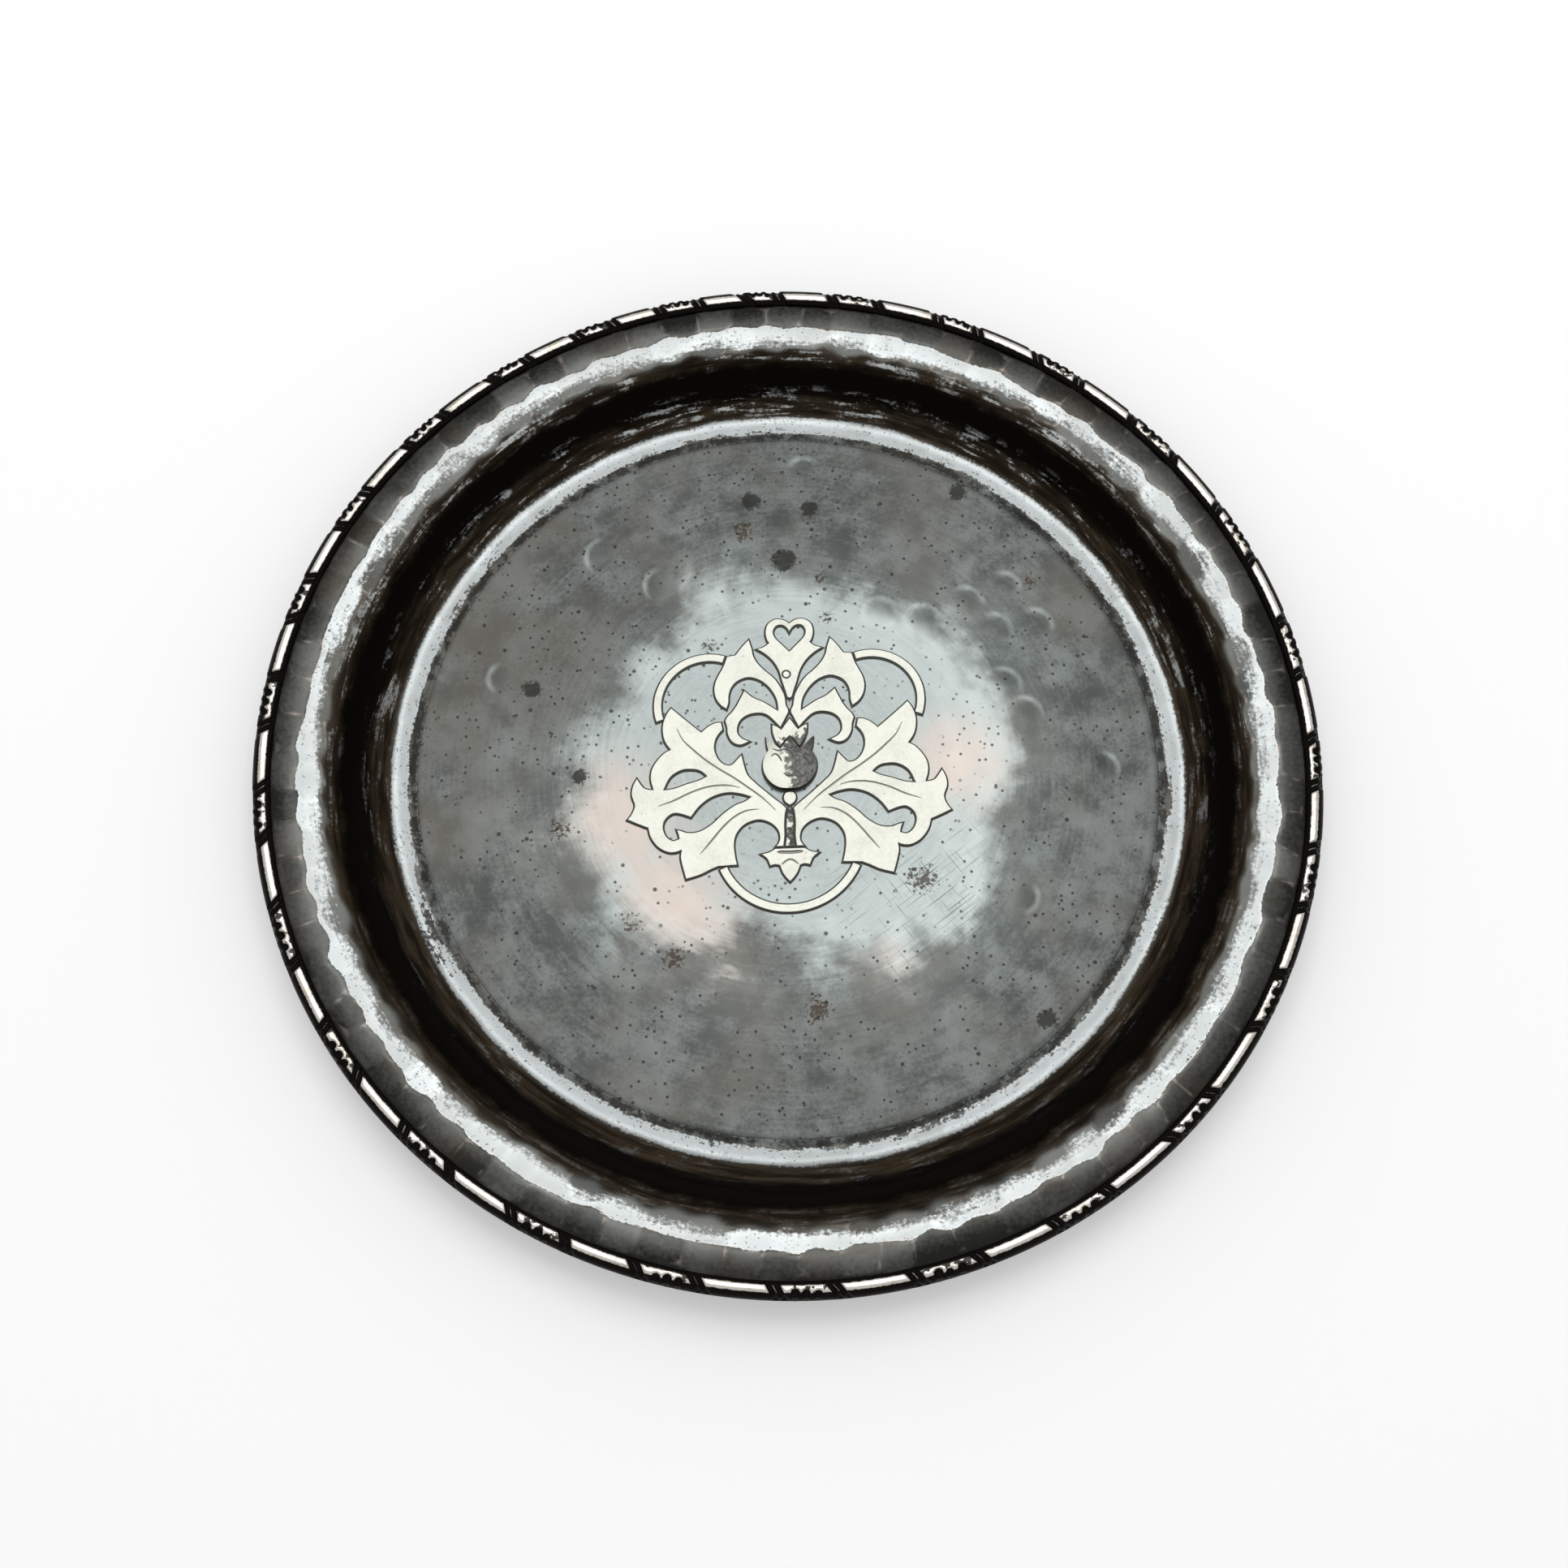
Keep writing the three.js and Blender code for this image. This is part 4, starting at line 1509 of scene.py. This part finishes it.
    def placed(self, points: np.ndarray, side: Side) -> np.ndarray:
        """Puts drawn points on the floor, on one side, with the overlay's lean."""
        across = points[:, 0] * side.value
        return np.column_stack([across, points[:, 1] + self.lean * across])

    def curve(self, corners: Sequence[Point], pitch: float) -> np.ndarray:
        """Draws a smooth line through points.

        Args:
            corners: The points, both ends included.
            pitch: Distance between the points of the line.

        Returns:
            Points of the line, both ends included.
        """
        knots = np.array(corners, float)
        if len(knots) == 2:
            steps = max(1, round(float(np.hypot(*(knots[1] - knots[0]))) / (2 * pitch)))
            return knots[0] + np.linspace(0, 1, steps + 1)[:, None] * (knots[1] - knots[0])
        padded = np.vstack([knots[0], knots, knots[-1]])
        line = [knots[0]]
        for a, b, c, d in zip(padded, padded[1:], padded[2:], padded[3:]):
            start = (c - a) / 2
            end = (d - b) / 2
            cubed = 2 * b - 2 * c + start + end
            squared = 3 * c - 3 * b - 2 * start - end
            steps = max(2, round(float(np.hypot(*(c - b))) / pitch))
            for t in np.linspace(0, 1, steps + 1)[1:]:
                line.append(cubed * t**3 + squared * t**2 + start * t + b)
        return np.array(line)

    def outline(self, rows: Rows, side: Side) -> np.ndarray:
        """Draws a closed outline, without repeating its first point.

        Args:
            rows: The drawn rows.
            side: Side of the thistle.

        Returns:
            Places of its points on the floor.
        """
        parts = []
        for row, after in zip(rows, [*rows[1:], rows[0]]):
            parts.append(self.curve([*row, after[0]], self.outline_pitch)[:-1])
        return self.placed(np.vstack(parts), side)

    def whole(self, half: Rows) -> Rows:
        """Adds the mirror image of a half outline.

        Args:
            half: Rows of the half at x > 0, from one end on the axis to the other.

        Returns:
            Rows of the whole outline.
        """
        back = []
        for row, after in zip(reversed(half[:-1]), reversed(half[1:])):
            back.append([(-x, y) for x, y in [after[0], *reversed(row[1:])]])
        return [*half[:-1], *back]

    def band(self, arc: Arc, side: Side) -> np.ndarray:
        """Draws a tendril, a narrow band along an arc, clockwise.

        Args:
            arc: The middle of the band.
            side: Side of the thistle.

        Returns:
            Places of its points on the floor.
        """
        half = self.tendril_width / 2
        rim = arc.points(self.tendril_steps, half) + arc.points(self.tendril_steps, -half)[::-1]
        return self.placed(np.array(rim), side)


def spread(outline: np.ndarray, by: float) -> np.ndarray:
    """Moves an outline away from its metal.

    Args:
        outline: Places of its points.
        by: A small distance, below zero to move into the metal.

    Returns:
        The new places.
    """
    forward = np.roll(outline, -1, 0) - outline
    forward /= np.maximum(np.hypot(*forward.T), 1e-9)[:, None]
    backward = np.roll(forward, 1, 0)
    mean = forward + backward
    mean /= np.maximum(np.hypot(*mean.T), 1e-6)[:, None]
    normal = np.column_stack([-mean[:, 1], mean[:, 0]])
    stretch = np.clip(1 / np.maximum((mean * forward).sum(1), 0.2), 1, LONGEST_MITRE)
    return outline + normal * (by * stretch)[:, None]


def tree_of(outline: np.ndarray) -> KDTree:
    """Sorts an outline's points, so that the nearest of them is found quickly.

    Args:
        outline: Places of its points.

    Returns:
        The sorted points.
    """
    tree = KDTree(len(outline))
    for index, (x, y) in enumerate(outline):
        tree.insert((x, y, 0), index)
    tree.balance()
    return tree


def away_from(outline: np.ndarray, points: np.ndarray) -> np.ndarray:
    """Finds how far each point is from the nearest point of an outline."""
    tree = tree_of(outline)
    return np.array([tree.find((x, y, 0))[2] for x, y in points])


@dataclass
class ThistleOverlay:
    """The pierced silver thistle, cut from sheet in thirteen pieces and soldered to the floor."""

    drawing: ThistleDrawing = field(default_factory=ThistleDrawing)
    base: float = 1.3
    gauge: float = 0.6
    root: float = 0.9
    fillet: float = 0.36
    fillet_rise: float = 0.12
    fillet_clear: float = 0.97
    edge: float = 0.14
    vein_width: float = 0.5
    bar_width: float = 0.9
    chase_pitch: float = 0.5
    chase_end: float = 0.35
    chase_taper: float = 0.2
    bud_rise: float = 1.7
    bud_reach: float = 11.0
    dome_segments: int = 96
    dome_rings: int = 64
    crease_angle: float = 28.0

    @property
    def top(self) -> float:
        """Height of the sheet's upper face."""
        return self.base + self.gauge

    def plate(self, name: str, outlines: Sequence[np.ndarray], rise: float = 0.0) -> bpy.types.Object:
        """Cuts one piece of sheet with a broken upper edge.

        Args:
            name: Name of the new object.
            outlines: Its outline first, then its openings.
            rise: Extra height, for a piece that is then domed.

        Returns:
            The piece.
        """
        true = np.vstack(outlines)
        narrow = np.vstack([spread(outline, -self.edge) for outline in outlines])
        obj = self.flat(name, outlines)
        self.lift(obj, true, true, self.top - self.edge + rise)
        self.lift(obj, true, narrow, self.top + rise)
        face_outwards(obj)
        return obj

    def flat(self, name: str, outlines: Sequence[np.ndarray]) -> bpy.types.Object:
        """Fills outlines at the root of the sheet, and leaves the faces selected in edit mode.

        Args:
            name: Name of the new object.
            outlines: Its outline first, then its openings.

        Returns:
            The flat piece.
        """
        loops = []
        for index, outline in enumerate(outlines):
            points = np.column_stack([outline, np.full(len(outline), self.root)])
            loops.append(ring_of_points(f"{name}_{index}", points))
        obj = self.joined(loops)
        obj.name = name
        obj.data.name = name
        bpy.ops.object.mode_set(mode="EDIT")
        bpy.ops.mesh.select_all(action="SELECT")
        bpy.ops.mesh.fill(use_beauty=True)
        return obj

    def joined(self, pieces: Sequence[bpy.types.Object]) -> bpy.types.Object:
        """Joins objects into the first of them.

        Args:
            pieces: The objects.

        Returns:
            The first object.
        """
        only(pieces[0])
        for piece in pieces[1:]:
            piece.select_set(True)
        if len(pieces) > 1:
            bpy.ops.object.join()
        return pieces[0]

    def solder(self, obj: bpy.types.Object, outlines: Sequence[np.ndarray]) -> None:
        """Runs a seam of solder along the foot of a piece.

        Args:
            obj: The piece.
            outlines: Its outline first, then its openings.
        """
        feet = []
        seams = []
        for outline in outlines:
            wide = spread(outline, self.fillet)
            clear = away_from(outline, wide) > self.fillet_clear * self.fillet
            seams.append(wide[clear])
            feet.append(spread(outline, -self.edge)[clear])
        wide = np.vstack(seams)
        seam = self.flat(f"{obj.name}_seam", seams)
        self.lift(seam, wide, wide, self.base)
        self.lift(seam, wide, np.vstack(feet), self.base + self.fillet_rise)
        face_outwards(seam)
        self.joined([obj, seam])

    def lift(self, obj: bpy.types.Object, before: np.ndarray, after: np.ndarray, height: float) -> None:
        """Extrudes the selected faces to a new height, from one set of outlines to the next.

        Args:
            obj: The piece, in edit mode.
            before: Places of the outlines' points on the floor before the step.
            after: Their places after it.
            height: The new height.
        """
        bpy.ops.mesh.extrude_region_move()
        bpy.ops.object.mode_set(mode="OBJECT")
        tree = tree_of(before)
        for vertex in obj.data.vertices:
            if vertex.select:
                index = tree.find((vertex.co.x / MM, vertex.co.y / MM, 0))[1]
                vertex.co = (*(after[index] * MM), height * MM)
        bpy.ops.object.mode_set(mode="EDIT")

    def surface(self, name: str, x: np.ndarray, y: np.ndarray) -> np.ndarray:
        """Gives the height of a piece's upper face, which is domed on the thistle's head alone.

        Args:
            name: Name of the solid that the piece stands for.
            x: Places to the right of the thistle's axis.
            y: Places along its axis.

        Returns:
            The height at each place.
        """
        if name != HEAD:
            return np.full(np.shape(x), self.top)
        reach = np.clip((np.square(x) + np.square(y)) / self.bud_reach**2, 0, 1)
        return self.base + (self.gauge + self.bud_rise) * np.sqrt(1 - reach)

    def chase(self, name: str, obj: bpy.types.Object, lines: Rows, side: Side, width: float) -> None:
        """Cuts chased lines that taper at both ends.

        Args:
            name: Name of the solid that the piece stands for.
            obj: The piece.
            lines: Drawn lines.
            side: Side of the thistle.
            width: Width of a line.
        """
        for line in lines:
            flat = self.drawing.placed(self.drawing.curve(line, self.chase_pitch), side)
            heights = self.surface(name, flat[:, 0], flat[:, 1])
            deselect()
            bpy.ops.curve.primitive_bezier_curve_add()
            wire = bpy.context.object.data
            wire.splines.clear()
            wire.dimensions = "3D"
            spline = wire.splines.new("POLY")
            spline.points.add(len(flat) - 1)
            for index, (point, (x, y), z) in enumerate(zip(spline.points, flat, heights)):
                point.co = (x * MM, y * MM, z * MM, 1)
                share = index / (len(flat) - 1)
                full = min(1.0, min(share, 1 - share) / self.chase_taper)
                point.radius = self.chase_end + (1 - self.chase_end) * full
            wire.bevel_depth = 0.5 * width * MM
            wire.bevel_resolution = 1
            wire.use_fill_caps = True
            bpy.ops.object.convert(target="MESH")
            self.carve(obj, bpy.context.object, "DIFFERENCE")

    def carve(self, obj: bpy.types.Object, cutter: bpy.types.Object, operation: str) -> None:
        """Applies one boolean and throws the cutter away.

        Args:
            obj: The piece.
            cutter: The body that it is cut with.
            operation: The boolean's type.
        """
        only(obj)
        tool = obj.modifiers.new("carve", "BOOLEAN")
        tool.operation = operation
        tool.solver = "EXACT"
        tool.object = cutter
        bpy.ops.object.modifier_apply(modifier=tool.name)
        bpy.data.objects.remove(cutter)

    def punch_ring(self, obj: bpy.types.Object, centre: Point, radius: float) -> None:
        """Punches a small ring into a piece's upper face.

        Args:
            obj: The piece.
            centre: Place of the ring on the floor.
            radius: Radius of the ring.
        """
        deselect()
        bpy.ops.mesh.primitive_torus_add(
            location=(centre[0] * MM, centre[1] * MM, self.top * MM),
            major_segments=24,
            minor_segments=8,
            major_radius=radius * MM,
            minor_radius=0.5 * self.vein_width * MM,
        )
        self.carve(obj, bpy.context.object, "DIFFERENCE")

    def dome(self, obj: bpy.types.Object) -> None:
        """Rounds a raised piece to a low dome.

        Args:
            obj: The piece.
        """
        deselect()
        bpy.ops.mesh.primitive_uv_sphere_add(
            segments=self.dome_segments,
            ring_count=self.dome_rings,
            radius=MM,
            location=(0, 0, self.base * MM),
        )
        ball = bpy.context.object
        ball.scale = (self.bud_reach, self.bud_reach, self.gauge + self.bud_rise)
        bpy.ops.object.transform_apply(location=True, rotation=True, scale=True)
        self.carve(obj, ball, "INTERSECT")

    def outlines(self) -> dict[str, list[np.ndarray]]:
        """Draws all thirteen pieces.

        Returns:
            Each piece's outline and then its openings, by the names of the solids.
        """
        d = self.drawing
        halves = {
            "crown_fleuron": (d.fleuron_half, d.heart_half),
            "thistle_tuft": (d.tuft_half,),
            "stem_bead": (d.bead_half,),
            "thistle_stem": (d.stem_half,),
            "foot_finial": (d.finial_half,),
            HEAD: (d.bud_half,),
        }
        drawn = {}
        for name, cut in halves.items():
            drawn[name] = [d.outline(d.whole(half), Side.RIGHT) for half in cut]
        drawn["tendril_base"] = [d.band(d.base_tendril, Side.RIGHT)]
        for side in Side:
            hand = side.name.lower()
            leaf = [d.outline(rows, side) for rows in (d.thistle_leaf, d.upper_opening, d.lower_opening)]
            drawn[f"crown_leaf_{hand}"] = self.wound([d.outline(d.crown_leaf, side)], side)
            drawn[f"thistle_leaf_{hand}"] = self.wound(leaf, side)
            drawn[f"tendril_{hand}"] = self.wound([d.band(d.side_tendril, side)], side)
        return drawn

    def wound(self, outlines: Iterable[np.ndarray], side: Side) -> list[np.ndarray]:
        """Keeps the direction of outlines that were mirrored."""
        return [outline[:: side.value] for outline in outlines]

    def build(self) -> dict[str, bpy.types.Object]:
        """Cuts and chases all thirteen pieces.

        Returns:
            The pieces by the names of the solids that they stand for.
        """
        d = self.drawing
        fine = self.vein_width
        chased = {
            "foot_finial": ((d.finial_lines, Side.RIGHT, fine), (d.finial_bar, Side.RIGHT, self.bar_width)),
            HEAD: ((d.bud_scales, Side.RIGHT, fine),),
            "thistle_leaf_left": ((d.leaf_veins, Side.LEFT, fine),),
            "thistle_leaf_right": ((d.leaf_veins, Side.RIGHT, fine),),
        }
        made = {}
        for name, outline in self.outlines().items():
            raised = name == HEAD
            piece = self.plate(f"{name}_silver", outline, self.bud_rise if raised else 0.0)
            if raised:
                self.dome(piece)
            for lines, side, width in chased.get(name, ()):
                self.chase(name, piece, lines, side, width)
            if name == "crown_fleuron":
                self.punch_ring(piece, *d.stalk_ring)
            self.solder(piece, outline)
            points = points_of(piece)
            record_attribute(piece, "sunk", self.surface(name, points[:, 0], points[:, 1]) - points[:, 2])
            made[name] = piece
        return made

    def dress(self, made: Mapping[str, bpy.types.Object]) -> None:
        """Gives each piece its silver.

        Args:
            made: The pieces by the names of the solids that they stand for.
        """
        sheet = OverlaySilver()
        # The head, tuft and stem get painted shade on one side.
        finishes = {
            HEAD: OverlaySilver(
                "thistle_head_silver", cut=(0.15, 0.15, 0.135), shade_along=0.2, shade_range=(-1.4, 0.4)
            ),
            "thistle_tuft": OverlaySilver(
                "thistle_tuft_silver", shade_across=0.4, shade_along=-1.0, shade_range=(-9.0, -7.8)
            ),
            "thistle_stem": OverlaySilver(
                "thistle_stem_silver", painted_shade=(0.05, 0.05, 0.047), shade_range=(-1.3, -0.3)
            ),
        }
        for node, obj in made.items():
            only(obj)
            bpy.ops.object.shade_smooth_by_angle(angle=math.radians(self.crease_angle))
            hand_in(obj, finishes.get(node, sheet), Slot.OVERLAY, node)


# Studio


@dataclass
class Studio:
    """White floor, an even room and one round soft light over the dish, in metres."""

    floor_size: float = 4.0
    floor_white: float = 0.96
    floor_lift: float = 0.20
    room_heights: Range = (0.15, 0.65)
    room_low: float = 1.0
    room_high: float = 0.76
    lamp_place: Place = (0.0, 0.37, 1.0)
    lamp_radius: float = 0.36
    lamp_sides: int = 64
    lamp_middle: float = 1.3
    lamp_edge: float = 3.2
    lamp_brightens: Range = (0.16, 0.24)

    def build(self) -> None:
        """Lays the floor, lights the room and hangs the lamp."""
        self.lay_floor()
        self.light_room()
        self.hang_lamp()

    def glow(self, s: Shader, strength: Number) -> bpy.types.NodeSocket:
        """Adds a white glow to a material and gives its shader."""
        return s.node("ShaderNodeEmission", {}, {"Color": WHITE, "Strength": strength}).outputs[0]

    def lay_floor(self) -> None:
        """Adds the floor, which isn't part of the dish."""
        deselect()
        bpy.ops.mesh.primitive_plane_add(size=self.floor_size)
        floor = bpy.context.object
        floor.name = "studio_floor"
        s = Shader("studio_floor_white")
        s.finish(Base_Color=(self.floor_white,) * 3, Roughness=0.8, Specular_IOR_Level=0.0)
        ray = s.node("ShaderNodeLightPath").outputs
        seen = s.math("MAXIMUM", ray["Is Camera Ray"], ray["Is Glossy Ray"])
        lift = self.glow(s, seen * self.floor_lift)
        s.show(s.node("ShaderNodeAddShader", {}, {0: s.surface.outputs[0], 1: lift}).outputs[0])
        floor.data.materials.append(s.made)

    def light_room(self) -> None:
        """Makes the room white to the eye, and lighter near the floor than overhead."""
        world = bpy.data.worlds.new("room")
        bpy.context.scene.world = world
        world.use_nodes = True
        room = NodeTree(world.node_tree)
        look = room.node("ShaderNodeTexCoord").outputs["Generated"]
        height = room.node("ShaderNodeSeparateXYZ", {}, {0: look}).outputs[2]
        light = room.ramp(height, *self.room_heights, self.room_low, self.room_high)
        seen = room.node("ShaderNodeLightPath").outputs["Is Camera Ray"]
        back = room.node("ShaderNodeBackground", {}, {"Strength": room.math("MAXIMUM", seen, light)})
        room.node("ShaderNodeOutputWorld", {}, {"Surface": back.outputs[0]})

    def hang_lamp(self) -> None:
        """Adds the round soft light, dimmer in its middle, which the camera doesn't see."""
        deselect()
        bpy.ops.mesh.primitive_circle_add(
            vertices=self.lamp_sides,
            radius=self.lamp_radius,
            fill_type="NGON",
            location=self.lamp_place,
            rotation=(math.pi, 0, 0),
        )
        lamp = bpy.context.object
        lamp.name = "soft_light"
        s = Shader("soft_light_cloth")
        brighter = s.step(s.off_axis() * MM, *self.lamp_brightens)
        s.show(self.glow(s, self.lamp_middle + (self.lamp_edge - self.lamp_middle) * brighter))
        lamp.data.materials.append(s.made)
        lamp.visible_camera = False


@dataclass
class PhotoCamera:
    """The camera, at the photograph's angle. Its place is in millimetres and its clip range in metres."""

    aim: Place = (-1.72, -7.82, 12.44)
    distance: float = 507.0
    elevation: float = 70.51
    azimuth: float = -4.14
    roll: float = 4.21
    lens: float = 48.02
    sensor: float = 36.0
    clip: Range = (0.01, 20.0)

    def build(self) -> None:
        """Places the camera."""
        around = math.radians(self.azimuth)
        up = math.radians(self.elevation)
        back = Vector((math.sin(around) * math.cos(up), -math.cos(around) * math.cos(up), math.sin(up)))
        right = (-back).cross(Vector((0, 0, 1))).normalized()
        above = back.cross(right)
        roll = math.radians(self.roll)
        across = right * math.cos(roll) + above * math.sin(roll)
        upward = above * math.cos(roll) - right * math.sin(roll)
        place = (Vector(self.aim) + back * self.distance) * MM
        data = bpy.data.cameras.new("photo_camera")
        data.lens = self.lens
        data.sensor_width = self.sensor
        data.clip_start, data.clip_end = self.clip
        camera = bpy.data.objects.new("photo_camera", data)
        bpy.context.scene.collection.objects.link(camera)
        turn = Matrix((across, upward, back)).transposed().to_4x4()
        camera.matrix_world = Matrix.Translation(place) @ turn
        bpy.context.scene.camera = camera


def main() -> None:
    """Builds the dish, its border, its thistle and the studio."""
    logging.basicConfig(level=logging.INFO, format="%(message)s")
    bpy.context.scene.view_settings.view_transform = "Standard"
    PhotoCamera().build()
    Studio().build()
    dish = HammeredDish()
    dish.dress(dish.build())
    border = ChasedBorder()
    border.dress(border.build())
    thistle = ThistleOverlay()
    thistle.dress(thistle.build())


if __name__ == "__main__":
    main()
